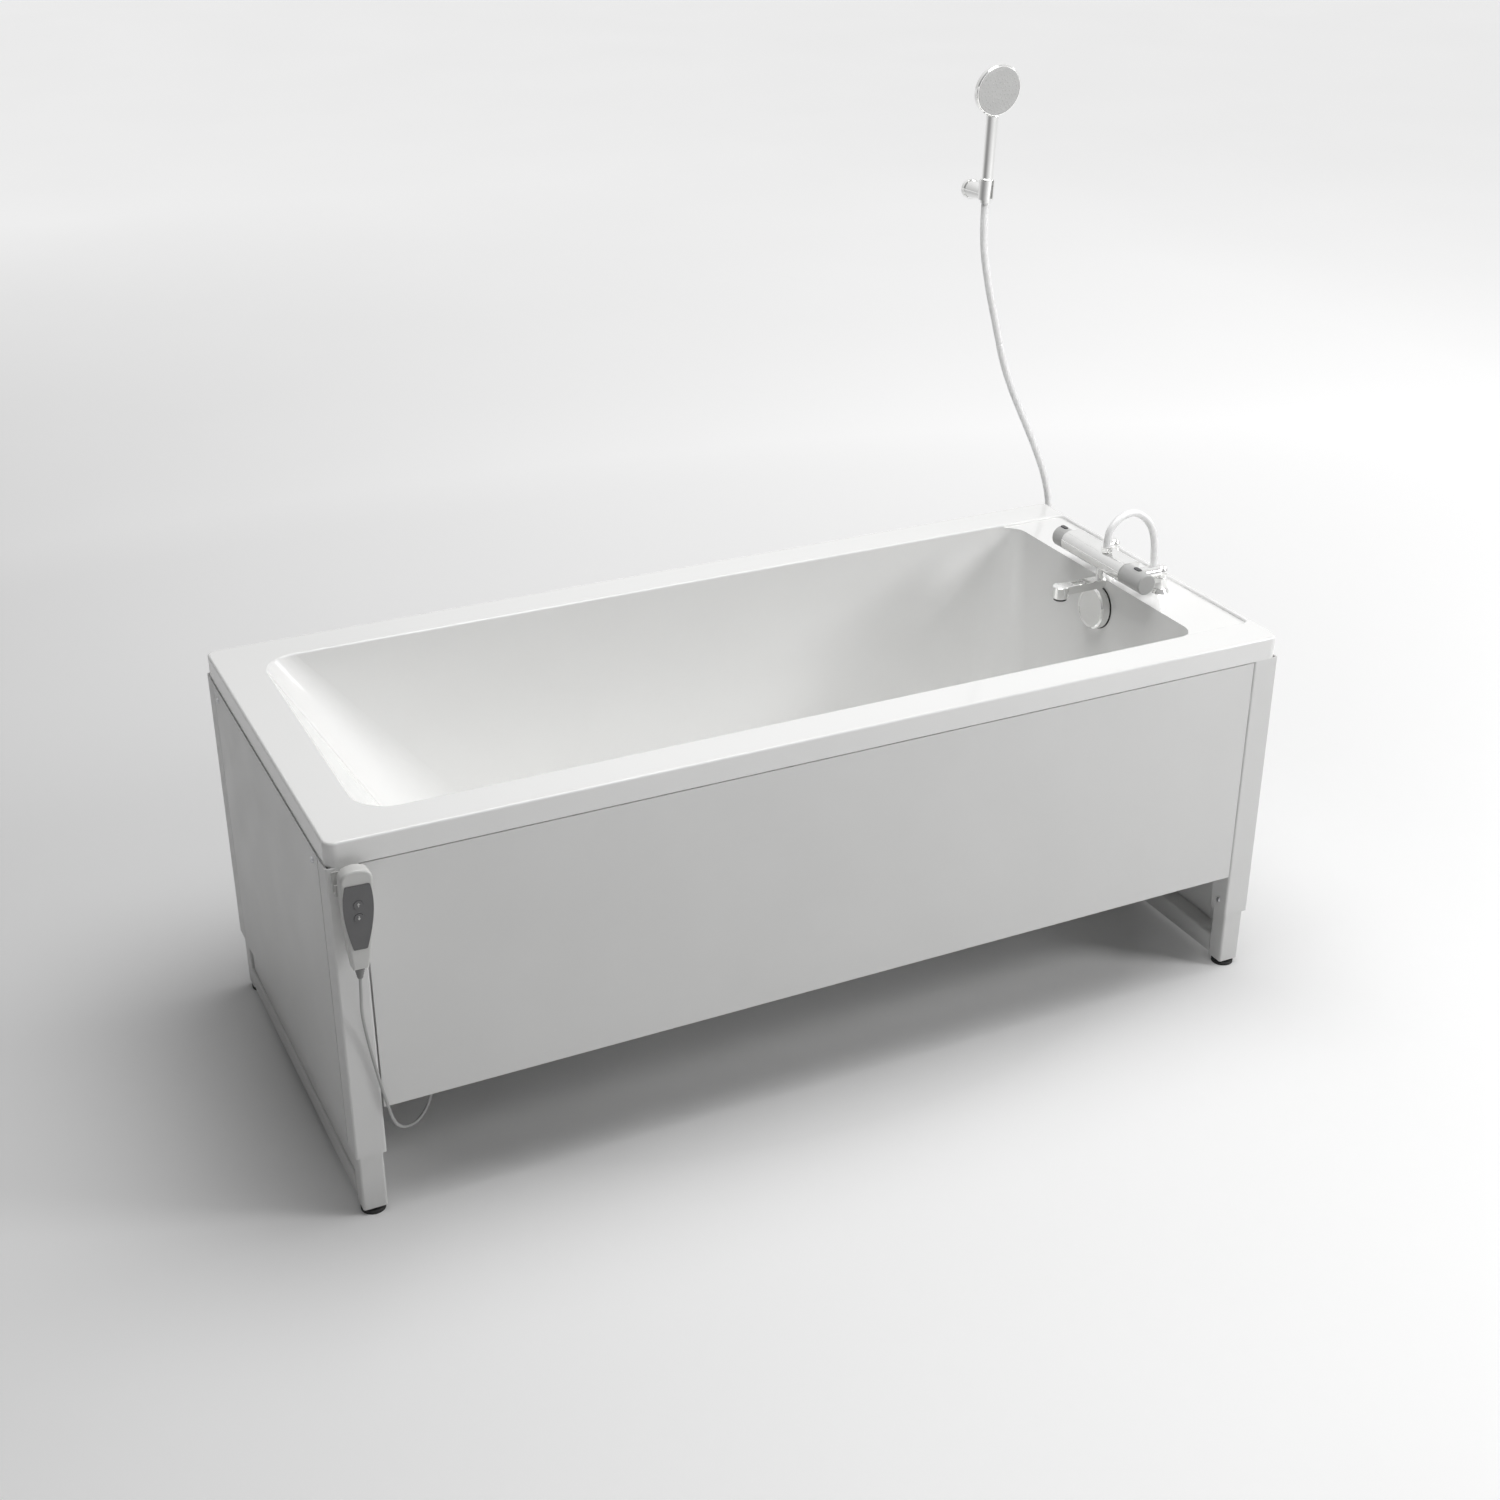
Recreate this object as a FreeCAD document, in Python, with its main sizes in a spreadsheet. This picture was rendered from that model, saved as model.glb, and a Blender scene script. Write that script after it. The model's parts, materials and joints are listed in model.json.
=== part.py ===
import FreeCAD, Part
import Sketcher
import math
import os
import re

# Bathtub on four telescopic legs: a floor frame stands still, and a lifting frame carries the tub, its
# panels and its mixer. X runs along the tub with the taps at +X, Y from the front panel to the wall side,
# Z up from the floor, and the origin is on the floor under the middle of the tub.

V = FreeCAD.Vector
doc = FreeCAD.newDocument("adjustable_bathtub")
sheet = doc.addObject("Spreadsheet::Sheet", "Sizes")

SIZES = [
    # tub shell
    ("tub_length", 1700, "length of the rim"),
    ("tub_width", 750, "width of the rim"),
    ("rim_top", 673, "height of the rim above the floor"),
    ("rim_depth", 40, "height of the rim's apron"),
    ("rim_skin", 10, "thickness of the rim's top"),
    ("apron_wall", 5, "thickness of the apron"),
    ("rim_corner", 18, "rounding of the rim's corners seen from above"),
    ("rim_edge", 4, "rounding of the rim's outer top edge"),
    ("rim_side", 75, "width of the rim at the front, the back and the head end"),
    ("rim_tap", 117, "width of the rim at the tap end"),
    ("deck_drop", 5, "depth of the tap deck below the rim"),
    ("deck_margin", 10, "raised strip behind the tap deck"),
    ("deck_inset", 2, "how far the deck's sides lie inside the opening's"),
    ("deck_reach", 30, "how far the deck runs in beside the opening's corners"),
    ("deck_corner", 12, "rounding of the deck's corners"),
    ("shell_wall", 5, "thickness of the basin"),
    ("basin_depth", 400, "depth of the basin below the rim"),
    ("backrest_run", 240, "how far the backrest slopes in from rim to floor"),
    ("wall_run", 35, "how far the other basin walls slope in"),
    ("head_corner", 60, "corner radius of the opening at the head end"),
    ("tap_corner", 42, "corner radius of the opening at the tap end"),
    ("head_low_corner", 150, "corner radius of the basin floor at the head end"),
    ("tap_low_corner", 95, "corner radius of the basin floor at the tap end"),
    ("basin_fillet", 62, "radius between the basin's walls and its floor"),
    ("opening_edge", 4, "rounding of the opening's edge"),
    ("overrun", 5, "how far a cut runs past the piece"),
    # lifting frame
    ("sleeve_length", 50, "sleeve along X"),
    ("sleeve_width", 46, "sleeve along Y"),
    ("sleeve_wall", 3, "wall of the sleeve"),
    ("sleeve_corner", 4, "corner radius of the sleeve"),
    ("sleeve_proud", 2, "how far a sleeve stands out past the rim's end"),
    ("sleeve_bottom", 116, "height of the sleeve's lower end"),
    ("leg_gap", 2, "gap between inner leg and sleeve"),
    ("glide_height", 40, "height of the lower glide ring"),
    ("glide_clear", 0.3, "running clearance of the glides"),
    ("rail_size", 30, "side rail, height and width"),
    ("rail_wall", 2, "wall of the rails"),
    ("rail_corner", 3, "corner radius of the rails"),
    ("rail_top", 570, "top of the side rails"),
    ("end_rail_depth", 20, "end rail along X"),
    ("end_rail_height", 40, "end rail along Z"),
    ("end_rail_drop", 3, "end rail below the rim's lower edge"),
    ("bracket_width", 40, "rim bracket along the rail"),
    ("bracket_sheet", 3, "sheet of the rim bracket"),
    ("bracket_flange", 24, "flange of the rim bracket"),
    ("bracket_inset", 252, "outer rim brackets from the rail's end"),
    # floor frame
    ("leg_bottom", 11, "height of the inner leg's lower end"),
    ("leg_top", 520, "height of the inner leg's upper end"),
    ("leg_wall", 2.5, "wall of the inner leg"),
    ("leg_plug", 20, "threaded block in the foot of the leg"),
    ("cross_size", 40, "cross tube, height"),
    ("cross_bottom", 14, "height of the cross tube's underside"),
    ("cross_wall", 2, "wall of the cross tube"),
    ("cross_corner", 4, "corner radius of the cross tube"),
    ("skirt_sheet", 1.5, "thickness of the skirt on the cross tube"),
    ("skirt_height", 322, "height of the skirt"),
    ("skirt_gap", 1.5, "gap between the skirt and a sleeve"),
    ("skirt_corner", 6, "rounding of the skirt's corners"),
    ("head_cap", 6, "cap of the leg head above the leg"),
    ("head_plug", 20, "leg head inside the leg"),
    ("foot_radius", 20, "pad of the foot"),
    ("foot_pad", 6, "height of the foot's pad"),
    ("foot_edge", 1.5, "chamfer of the foot's pad"),
    ("foot_neck", 9, "radius of the foot's neck"),
    ("foot_stud", 5, "radius of the foot's stud"),
    ("foot_stud_top", 46, "height of the stud's end"),
    ("run_fit", 0.05, "radial play of a running fit"),
    # drive
    ("spindle_radius", 7, "radius of the spindle"),
    ("spindle_bottom", 240, "height of the spindle's lower end"),
    ("spindle_seat", 24, "spindle inside the gearbox"),
    ("spindle_chamfer", 1.5, "chamfer of the spindle's ends"),
    ("gearbox_height", 40, "height of the gearbox"),
    ("gearbox_drop", 3, "gearbox below the sleeve's top"),
    ("motor_radius", 19, "radius of the motor"),
    ("motor_length", 145, "motor outside the sleeve"),
    ("motor_cap", 12, "length of the motor's end cap"),
    ("motor_cap_step", 1.5, "motor cap's radius less the motor's"),
    ("motor_clear", 0.5, "gap round the motor in the sleeve's side"),
    # panels and screws
    ("panel_gap", 2, "gap between front panel and sleeve or rim"),
    ("panel_sheet", 2, "sheet of the front panel"),
    ("panel_flange", 14, "return flange of the front panel"),
    ("panel_bottom", 200, "height of the front panel's lower edge"),
    ("end_panel_sheet", 4, "thickness of an end panel"),
    ("end_panel_gap", 1, "gap round an end panel"),
    ("end_panel_edge", 1.2, "rounding of an end panel's outer edges"),
    ("screw_head", 5, "radius of a screw's head"),
    ("screw_rise", 2.5, "height of a screw's head"),
    ("screw_shank", 2.2, "radius of a screw's shank"),
    ("screw_length", 8, "length of a panel screw's shank"),
    ("glide_screw_length", 4.2, "length of a glide screw's shank"),
    ("screw_clear", 0.2, "play round a shank"),
    ("screw_inset", 29, "panel screws from the end panel's sides"),
    ("screw_drop", 21, "panel screws below the rim's lower edge"),
    ("glide_screw_rise", 23, "glide screws above the sleeve's lower end"),
    # control box
    ("control_length", 220, "control box along X"),
    ("control_depth", 66, "control box along Y"),
    ("control_height", 100, "control box along Z"),
    ("control_corner", 8, "rounding of the control box"),
    ("control_start", 92, "control box from the sleeve's middle line"),
    ("control_back", 4, "control box behind the front edge of the rim"),
    ("gland_radius", 6, "cable gland of the control box"),
    ("gland_height", 12, "cable gland below the control box"),
    ("gland_side", 61, "gland from the box's end"),
    ("gland_back", 50, "gland from the rim's front edge"),
    ("inlet_width", 28, "inlet along Y"),
    ("inlet_height", 22, "inlet along Z"),
    ("inlet_depth", 14, "depth of the inlet"),
    # waste and overflow
    ("fittings_y", -7, "middle line of overflow and waste"),
    ("knob_drop", 62, "overflow's middle below the rim"),
    ("knob_radius", 40, "overflow knob"),
    ("knob_depth", 18, "thickness of the overflow knob"),
    ("knob_edge", 3, "rounding of the knob"),
    ("knob_grip", 34, "radius of the knob's dished face"),
    ("knob_dish", 0.6, "depth of the knob's dished face"),
    ("gasket_radius", 41, "overflow gasket"),
    ("gasket_depth", 2, "thickness of the overflow gasket"),
    ("overflow_hole", 24, "radius of the overflow hole"),
    ("overflow_hub", 6, "radius of the knob's shaft"),
    ("overflow_flange", 32, "flange of the overflow behind the wall"),
    ("overflow_flange_depth", 6, "thickness of that flange"),
    ("pipe_radius", 14, "overflow pipe"),
    ("pipe_bore", 11.5, "bore of the overflow pipe"),
    ("pipe_bend", 28, "bend of the overflow pipe"),
    ("pipe_back", 24, "overflow pipe behind the basin's wall at the top"),
    ("pipe_drop", 39, "overflow pipe's level run below the basin's floor"),
    ("drain_back", 153, "drain from the opening's tap end"),
    ("drain_flange", 35, "radius of the drain's flange"),
    ("drain_flange_rise", 2, "thickness of the drain's flange"),
    ("drain_tube", 25, "radius of the drain's tube"),
    ("drain_bore", 21, "bore of the drain"),
    ("drain_length", 66, "drain's tube below the basin's floor"),
    ("drain_nut", 39, "radius of the drain's nut"),
    ("drain_nut_height", 10, "height of the drain's nut"),
    ("drain_clear", 1, "play of the drain in the shell's hole"),
    ("plug_radius", 30, "drain plug"),
    ("plug_rise", 4, "height of the plug above the drain's flange"),
    ("plug_seat_gap", 0.3, "plug above its seat"),
    ("plug_stem", 4, "radius of the plug's stem"),
    ("plug_stem_length", 40, "length of the plug's stem"),
    ("spider_height", 4, "thickness of the cross that guides the stem"),
    ("spider_arm", 5, "width of the cross's arms"),
    ("trap_radius", 34, "radius of the trap's cup"),
    ("trap_height", 78, "height of the trap's cup"),
    ("trap_edge", 8, "rounding of the trap's cup"),
    ("trap_collar", 24, "radius of the collar at the outlet's root"),
    ("trap_collar_length", 42, "collar's end from the trap's middle"),
    ("trap_outlet", 20, "radius of the trap's outlet"),
    ("trap_outlet_bore", 18, "bore of the trap's outlet"),
    ("trap_outlet_length", 110, "outlet from the trap's middle"),
    ("trap_outlet_drop", 24, "outlet's middle below the trap's top"),
    # mixer
    ("mixer_y", -30, "middle of the mixer along Y"),
    ("mixer_back", 21, "mixer's axis in front of the opening's tap end"),
    ("mixer_rise", 43.5, "mixer's axis above the rim"),
    ("mixer_radius", 19.5, "radius of the mixer's round front"),
    ("mixer_shelf", 26, "mixer's shelf behind its axis"),
    ("mixer_corner", 6, "rounding of the shelf's rear edges"),
    ("mixer_front", 76, "body in front of the mixer's middle"),
    ("mixer_rear", 108, "body behind the mixer's middle"),
    ("handle_radius", 19.2, "radius of the handles"),
    ("warm_length", 62, "length of the temperature handle"),
    ("flow_length", 32, "length of the flow handle"),
    ("handle_gap", 0.4, "gap between a handle and the body"),
    ("handle_edge", 2, "rounding of a handle's end"),
    ("spigot_radius", 11, "shaft that carries a handle"),
    ("spigot_length", 22, "shaft inside a handle"),
    ("button_length", 18, "stop button along the handle"),
    ("button_width", 8, "stop button across the handle"),
    ("button_rise", 1.3, "stop button above the handle"),
    ("button_height", 5, "height of the stop button"),
    ("button_clear", 0.3, "play round the stop button"),
    ("button_travel", 1, "travel of the stop button"),
    ("button_inset", 30, "temperature button from the handle's outer end"),
    ("flow_button_inset", 12, "flow button from the handle's outer end"),
    ("pillar_pitch", 150, "distance between the pillars"),
    ("pillar_back", 57, "pillars behind the opening's tap end"),
    ("union_rise", 35, "axis of the unions above the rim"),
    ("pillar_radius", 10, "radius of the pillars"),
    ("elbow_radius", 11.5, "radius of the pillars' elbows"),
    ("nipple_radius", 8, "radius of the unions' nipples"),
    ("rosette_radius", 17, "radius of the rosettes"),
    ("rosette_height", 8, "height of the rosettes"),
    ("base_nut", 12.5, "base nut, middle to corner"),
    ("base_nut_height", 20, "height of the base nuts"),
    ("tail_radius", 10.48, "radius of the unions' threaded tails"),
    ("tail_length", 26, "threaded tails below the deck"),
    ("supply_radius", 7.5, "radius of the plain supply tubes"),
    ("supply_bore", 6.5, "bore of the supply tubes"),
    ("supply_length", 50, "length of the supply tubes"),
    ("ring_nut", 14, "radius of the ring nuts"),
    ("ring_nut_length", 18, "length of the ring nuts"),
    ("ring_nut_clear", 0.2, "play in the ring nuts"),
    ("deck_nut", 15, "deck nut, middle to corner"),
    ("deck_nut_height", 8, "height of the deck nuts"),
    ("deck_hole_clear", 0.5, "play of a tail in the deck"),
    ("spout_y", 3, "spout behind the mixer's middle"),
    ("spout_post", 8.5, "radius of the spout's post"),
    ("spout_seat", 10, "post inside the body"),
    ("spout_reach", 86, "outlet from the post"),
    ("spout_width", 22, "width of the spout's arm"),
    ("spout_height", 16, "height of the spout's arm"),
    ("spout_drop", 34, "arm's underside below the body's"),
    ("spout_end", 15, "radius of the spout's round end"),
    ("spout_end_drop", 7, "round end below the arm"),
    ("spout_edge", 1.2, "chamfer of the spout's edges"),
    ("slot_length", 26, "inset on the spout's top"),
    ("slot_width", 9, "width of that inset"),
    ("slot_depth", 1.5, "depth of that inset"),
    ("slot_from_end", 38, "inset's middle from the outlet"),
    ("aerator_radius", 12, "radius of the aerator"),
    ("aerator_height", 11, "height of the aerator"),
    ("aerator_proud", 4, "aerator below the spout's end"),
    ("aerator_recess", 2, "recess in the aerator"),
    ("aerator_bore", 9, "radius of that recess"),
    ("hose_radius", 7, "radius of the shower hose"),
    ("hose_nut_y", -10, "hose nut from the mixer's middle"),
    ("hose_nut_radius", 11, "hose nut, middle to corner"),
    ("hose_nut_height", 10, "height of the hose nut"),
    ("gland_x", 81, "deck gland behind the opening's tap end"),
    ("deck_gland_y", -20, "deck gland from the mixer's middle"),
    ("deck_gland_flange", 15, "flange of the deck gland"),
    ("deck_gland_rise", 4, "height of that flange"),
    ("deck_gland_body", 11, "radius of the deck gland's body"),
    ("deck_gland_nut", 14, "radius of the deck gland's nut"),
    ("deck_gland_length", 18, "deck gland below the deck's top"),
    ("deck_gland_nut_height", 8, "height of the deck gland's nut"),
    # hand shower and its holder
    ("wall_gap", 40, "room between the rim and the wall"),
    ("shower_x", 664, "hand shower along X"),
    ("shower_height", 1320, "height of the holder's cradle"),
    ("shower_reach", 58, "cradle's axis in front of the wall"),
    ("shower_lean", 3.5, "lean of the hand shower in degrees"),
    ("cradle_radius", 14.5, "radius of the cradle"),
    ("cradle_height", 35, "height of the cradle"),
    ("cradle_slot", 15, "slot in the cradle's front"),
    ("cone_low", 9.8, "hand shower's cone at the cradle's lower end"),
    ("cone_top", 11.8, "hand shower's cone at the cradle's upper end"),
    ("cone_clear", 0.3, "cone's play in the cradle"),
    ("holder_plate", 18.5, "radius of the holder's wall plate"),
    ("holder_plate_depth", 8, "thickness of the wall plate"),
    ("holder_waist", 10.5, "radius of the holder's arm at the cradle"),
    ("holder_root", 16.5, "radius of the holder's arm at the plate"),
    ("holder_drop", 9, "holder's plate below the cradle's middle"),
    ("holder_bolt", 2.5, "radius of the holder's screw holes"),
    ("holder_bolt_pitch", 22, "distance between those holes"),
    ("inlet_end", 24, "hose end of the hand shower below the cradle's middle"),
    ("grip_low", 10.2, "radius of the grip above the cradle"),
    ("grip_top", 11.3, "radius of the grip below the head"),
    ("grip_length", 134, "top of the grip above the cradle's middle"),
    ("grip_end", 150, "end of the neck above the cradle's middle"),
    ("head_radius", 46.3, "radius of the shower head"),
    ("head_rim", 9, "depth of the head's edge"),
    ("head_depth", 13, "depth of the shower head"),
    ("head_back", 34, "radius of the head's back"),
    ("head_hump", 22, "depth of the head's hump"),
    ("head_hump_radius", 13, "radius of the head's hump"),
    ("head_face_y", -16, "middle of the face from the grip's axis"),
    ("head_face_z", 181, "middle of the face above the cradle's middle"),
    ("head_cos_share", 0.99692, "cosine of the head's tilt to the grip"),
    ("head_sin_share", 0.07846, "sine of the head's tilt to the grip"),
    ("face_radius", 43.4, "radius of the spray face"),
    ("face_depth", 2, "thickness of the spray face"),
    ("face_proud", 0.6, "spray face in front of the head"),
    ("face_clear", 0.3, "play round the spray face"),
    # hand control
    ("control_reach", 40, "front of the hand control before the rim's front"),
    ("handset_shift", 4.5, "foot of the hand control from the sleeve's middle"),
    ("handset_foot", 478, "height of the hand control's foot"),
    ("handset_lean", 2.1, "lean of the hand control in degrees"),
    ("handset_low", 12, "half the case's width at its foot"),
    ("handset_wide", 24, "half the case's width at its top"),
    ("handset_shoulder", 148, "height of the case's shoulders"),
    ("handset_flank", 900, "radius of the case's flanks"),
    ("handset_corner", 16, "radius of the case's top corners"),
    ("handset_crown", 40, "radius of the case's top"),
    ("handset_depth", 24, "thickness of the case"),
    ("handset_round", 4, "rounding of the case's edges"),
    ("plate_low", 36, "lower end of the face plate"),
    ("plate_top", 141, "upper end of the face plate"),
    ("plate_low_half", 10.5, "half the face plate's width at its lower end"),
    ("plate_top_half", 18.6, "half the face plate's width at its upper end"),
    ("plate_flank", 500, "radius of the face plate's flanks"),
    ("plate_bow", 200, "radius of the face plate's ends"),
    ("plate_sheet", 2, "thickness of the face plate"),
    ("plate_proud", 1, "face plate in front of the case"),
    ("key_radius", 7, "radius of a button"),
    ("key_proud", 0.8, "button in front of the face plate"),
    ("key_depth", 4, "thickness of a button"),
    ("key_clear", 0.3, "play round a button"),
    ("key_travel", 1, "travel of a button"),
    ("key_up", 110, "up button above the foot"),
    ("key_down", 88.5, "down button above the foot"),
    ("relief_length", 20, "length of the strain relief"),
    ("relief_top", 8.5, "radius of the strain relief at the case"),
    ("relief_low", 4, "radius of the strain relief at the cable"),
    ("relief_groove", 1, "depth of the strain relief's grooves"),
    ("relief_rib", 3, "width of the strain relief's ribs"),
    ("cable_radius", 2.5, "radius of the hand control's cable"),
    ("hanger_width", 34, "width of the hanger"),
    ("hanger_height", 34, "height of the hanger's plate"),
    ("hook_shift", 4, "middle of the hook from the sleeve's middle"),
    ("hanger_sheet", 3, "thickness of the hanger"),
    ("hanger_top", 628, "top of the hanger's plate"),
    ("hanger_tongue", 18, "height of the hanger's tongue"),
    ("hook_gap", 0.3, "play of the hook on the tongue"),
    ("hook_width", 14, "width of the hook"),
    ("hook_sheet", 2.5, "thickness of the hook"),
    ("hook_drop", 12, "how far the hook reaches down"),
]
NAMES = {name for name, size, note in SIZES}
for line, (name, size, note) in enumerate(SIZES, start=1):
    sheet.set(f"A{line}", note)
    sheet.set(f"B{line}", str(size))
    sheet.setAlias(f"B{line}", name)
doc.recompute()


def bound(text):
    """Point the names in a formula at the table of sizes."""
    return re.sub(r"[a-z][a-z_0-9]*", lambda m: "Sizes." + m[0] if m[0] in NAMES else m[0], str(text))


reader = doc.addObject("App::FeaturePython", "Reader")
reader.addProperty("App::PropertyFloat", "Value")
KNOWN = {}


def value(text):
    """The number that a formula of sizes gives."""
    text = str(text)
    if text not in KNOWN:
        reader.setExpression("Value", bound(text))
        reader.recompute()
        KNOWN[text] = reader.Value
    return KNOWN[text]


def bind(thing, **formulas):
    for key, text in formulas.items():
        thing.setExpression(key, bound(text))
    return thing


def put(thing, x="0", y="0", z="0"):
    for axis, text in zip("xyz", (x, y, z)):
        if text != "0":
            thing.setExpression("Placement.Base." + axis, bound(text))
    return thing


def turned(thing, axis, degrees):
    thing.Placement = FreeCAD.Placement(thing.Placement.Base, FreeCAD.Rotation(axis, degrees))
    return thing


ALONG = {"x": (V(0, 1, 0), 90), "y": (V(1, 0, 0), -90), "z": (V(0, 0, 1), 0)}


def box(name, x0, x1, y0, y1, z0, z1):
    thing = doc.addObject("Part::Box", name)
    bind(thing, Length=f"({x1}) - ({x0})", Width=f"({y1}) - ({y0})", Height=f"({z1}) - ({z0})")
    return put(thing, x0, y0, z0)


def rod(name, radius, x, y, z, length, along="z"):
    thing = doc.addObject("Part::Cylinder", name)
    bind(thing, Radius=radius, Height=length)
    turned(thing, *ALONG[along])
    return put(thing, x, y, z)


def cone(name, start_radius, end_radius, x, y, z, length, along="z"):
    thing = doc.addObject("Part::Cone", name)
    bind(thing, Radius1=start_radius, Radius2=end_radius, Height=length)
    turned(thing, *ALONG[along])
    return put(thing, x, y, z)


def hexagon(name, radius, x, y, z, length, along="z"):
    thing = doc.addObject("Part::Prism", name)
    thing.Polygon = 6
    bind(thing, Circumradius=radius, Height=length)
    turned(thing, *ALONG[along])
    return put(thing, x, y, z)


def fuse(name, *things):
    thing = doc.addObject("Part::MultiFuse", name)
    thing.Shapes = list(things)
    thing.Refine = True
    return thing


def cut(name, base, *tools):
    thing = doc.addObject("Part::Cut", name)
    thing.Base = base
    thing.Tool = tools[0] if len(tools) == 1 else fuse(name + "_tools", *tools)
    return thing


def group(name, *things):
    thing = doc.addObject("Part::Compound", name)
    thing.Links = list(things)
    return thing


def mirrored(name, source, normal):
    thing = doc.addObject("Part::Mirroring", name)
    thing.Source = source
    thing.Normal = normal
    return thing


def both_ends(name, source):
    return group(name, source, mirrored(name + "_right", source, V(1, 0, 0)))


def both_sides(name, source):
    return group(name, source, mirrored(name + "_back", source, V(0, 1, 0)))


def four_corners(name, source):
    return both_sides(name, both_ends(name + "_front", source))


NODES = []


def node(thing, label):
    thing.Label = label
    NODES.append(thing)
    return thing


def body(name):
    return doc.addObject("PartDesign::Body", name)


def rounded(x0, x1, y0, y1, r0, r1=None, r2=None, r3=None):
    """Outline of a rectangle whose four corners are rounded, counter-clockwise from its low corner."""
    r1, r2, r3 = r1 or r0, r2 or r0, r3 or r0
    points = [(f"({x0}) + ({r0})", y0), (f"({x1}) - ({r1})", y0), (x1, f"({y0}) + ({r1})"),
              (x1, f"({y1}) - ({r2})"), (f"({x1}) - ({r2})", y1), (f"({x0}) + ({r3})", y1),
              (x0, f"({y1}) - ({r3})"), (x0, f"({y0}) + ({r0})")]
    return points, {1: (r1, 1), 3: (r2, 1), 5: (r3, 1), 7: (r0, 1)}


def sketch(owner, plane, loops=(), circles=(), offset="0"):
    """Closed outlines of lines and arcs, and circles, each held by its own dimensions."""
    drawing = owner.newObject("Sketcher::SketchObject", owner.Name + "_sketch")
    drawing.AttachmentSupport = [f for f in owner.Origin.OriginFeatures if f.Role == plane][0]
    drawing.MapMode = "FlatFace"
    if offset != "0":
        drawing.setExpression("AttachmentOffset.Base.z", bound(offset))

    def hold(kind, *what):
        text = what[-1]
        index = drawing.addConstraint(Sketcher.Constraint(kind, *what[:-1], value(text)))
        drawing.setExpression(f"Constraints[{index}]", bound(text))

    for points, arcs in loops:
        count = len(points)
        spots = [V(value(x), value(y), 0) for x, y in points]
        first = drawing.GeometryCount
        starts, ends = [], []
        for i, spot in enumerate(spots):
            after = spots[(i + 1) % count]
            if i in arcs:
                radius, bend = value(arcs[i][0]), arcs[i][1]
                chord = after - spot
                side = V(-chord.y, chord.x, 0) * (bend / chord.Length)
                centre = (spot + after) * 0.5 + side * math.sqrt(max(radius ** 2 - chord.Length ** 2 / 4, 0))
                low, high = (spot, after) if bend > 0 else (after, spot)
                angles = [math.atan2(p.y - centre.y, p.x - centre.x) for p in (low, high)]
                drawing.addGeometry(Part.ArcOfCircle(Part.Circle(centre, V(0, 0, 1), radius), *angles))
                starts.append(1 if bend > 0 else 2)
                ends.append(2 if bend > 0 else 1)
            else:
                drawing.addGeometry(Part.LineSegment(spot, after))
                starts.append(1)
                ends.append(2)
        for i, (x, y) in enumerate(points):
            after = (i + 1) % count
            drawing.addConstraint(
                Sketcher.Constraint("Coincident", first + i, ends[i], first + after, starts[after]))
            hold("DistanceX", first + i, starts[i], x)
            hold("DistanceY", first + i, starts[i], y)
        for i in arcs:
            hold("Radius", first + i, arcs[i][0])
    for x, y, radius in circles:
        index = drawing.addGeometry(Part.Circle(V(value(x), value(y), 0), V(0, 0, 1), value(radius)))
        hold("DistanceX", index, 3, x)
        hold("DistanceY", index, 3, y)
        hold("Radius", index, radius)
    return drawing


def pad(owner, drawing, length, backwards=False):
    feature = owner.newObject("PartDesign::Pad", owner.Name + "_pad")
    feature.Profile = drawing
    feature.Reversed = backwards
    return bind(feature, Length=length)


def pocket(owner, drawing, length, backwards=False):
    feature = owner.newObject("PartDesign::Pocket", owner.Name + "_pocket")
    feature.Profile = drawing
    feature.Reversed = backwards
    return bind(feature, Length=length)


def revolve(owner, drawing, axis="V_Axis", kind="Revolution"):
    feature = owner.newObject("PartDesign::" + kind, owner.Name + "_" + kind.lower())
    feature.Profile = drawing
    feature.ReferenceAxis = (drawing, [axis])
    feature.Angle = 360
    return feature


def loft(owner, kind, drawings):
    feature = owner.newObject("PartDesign::" + kind, owner.Name + "_loft")
    feature.Profile = drawings[0]
    feature.Sections = drawings[1:]
    return feature


def edges(feature, wanted):
    """Names of the feature's edges whose every corner point passes the test."""
    doc.recompute()
    found = []
    for index, edge in enumerate(feature.Shape.Edges, start=1):
        span = [edge.valueAt(p) for p in edge.ParameterRange]
        middle = edge.valueAt(sum(edge.ParameterRange) / 2)
        if wanted(span + [middle]):
            found.append(f"Edge{index}")
    return found


def fillet(owner, feature, names, radius, kind="Fillet"):
    rounding = owner.newObject("PartDesign::" + kind, owner.Name + "_" + kind.lower())
    rounding.Base = (feature, names)
    return bind(rounding, **{"Radius" if kind == "Fillet" else "Size": radius})


def level(height):
    """Test for edges that lie at one height."""
    return lambda spots: all(abs(p.z - height) < NEAR for p in spots)


NEAR = value("run_fit / 10")

# Tub shell: a rim like an upturned tray, a basin lofted through it and hollowed out, the sunk tap deck,
# and the holes for the mixer, the hose, the overflow and the drain.
HEAD_X = "(-tub_length / 2 + rim_side)"
TAP_X = "(tub_length / 2 - rim_tap)"
SIDE_Y = "(tub_width / 2 - rim_side)"
APRON = "(rim_top - rim_depth)"
FLOOR = "(rim_top - basin_depth)"
UNDER = "(rim_top - basin_depth - shell_wall)"
DECK = "(rim_top - deck_drop)"
DECK_UNDER = "(rim_top - rim_skin)"
KNOB_Z = "(rim_top - knob_drop)"
DRAIN_X = f"({TAP_X} - drain_back)"
PILLAR_X = f"({TAP_X} + pillar_back)"
PILLARS_Y = ("(mixer_y - pillar_pitch / 2)", "(mixer_y + pillar_pitch / 2)")
GLAND_X = f"({TAP_X} + gland_x)"
GLAND_Y = "(mixer_y + deck_gland_y)"


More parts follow.
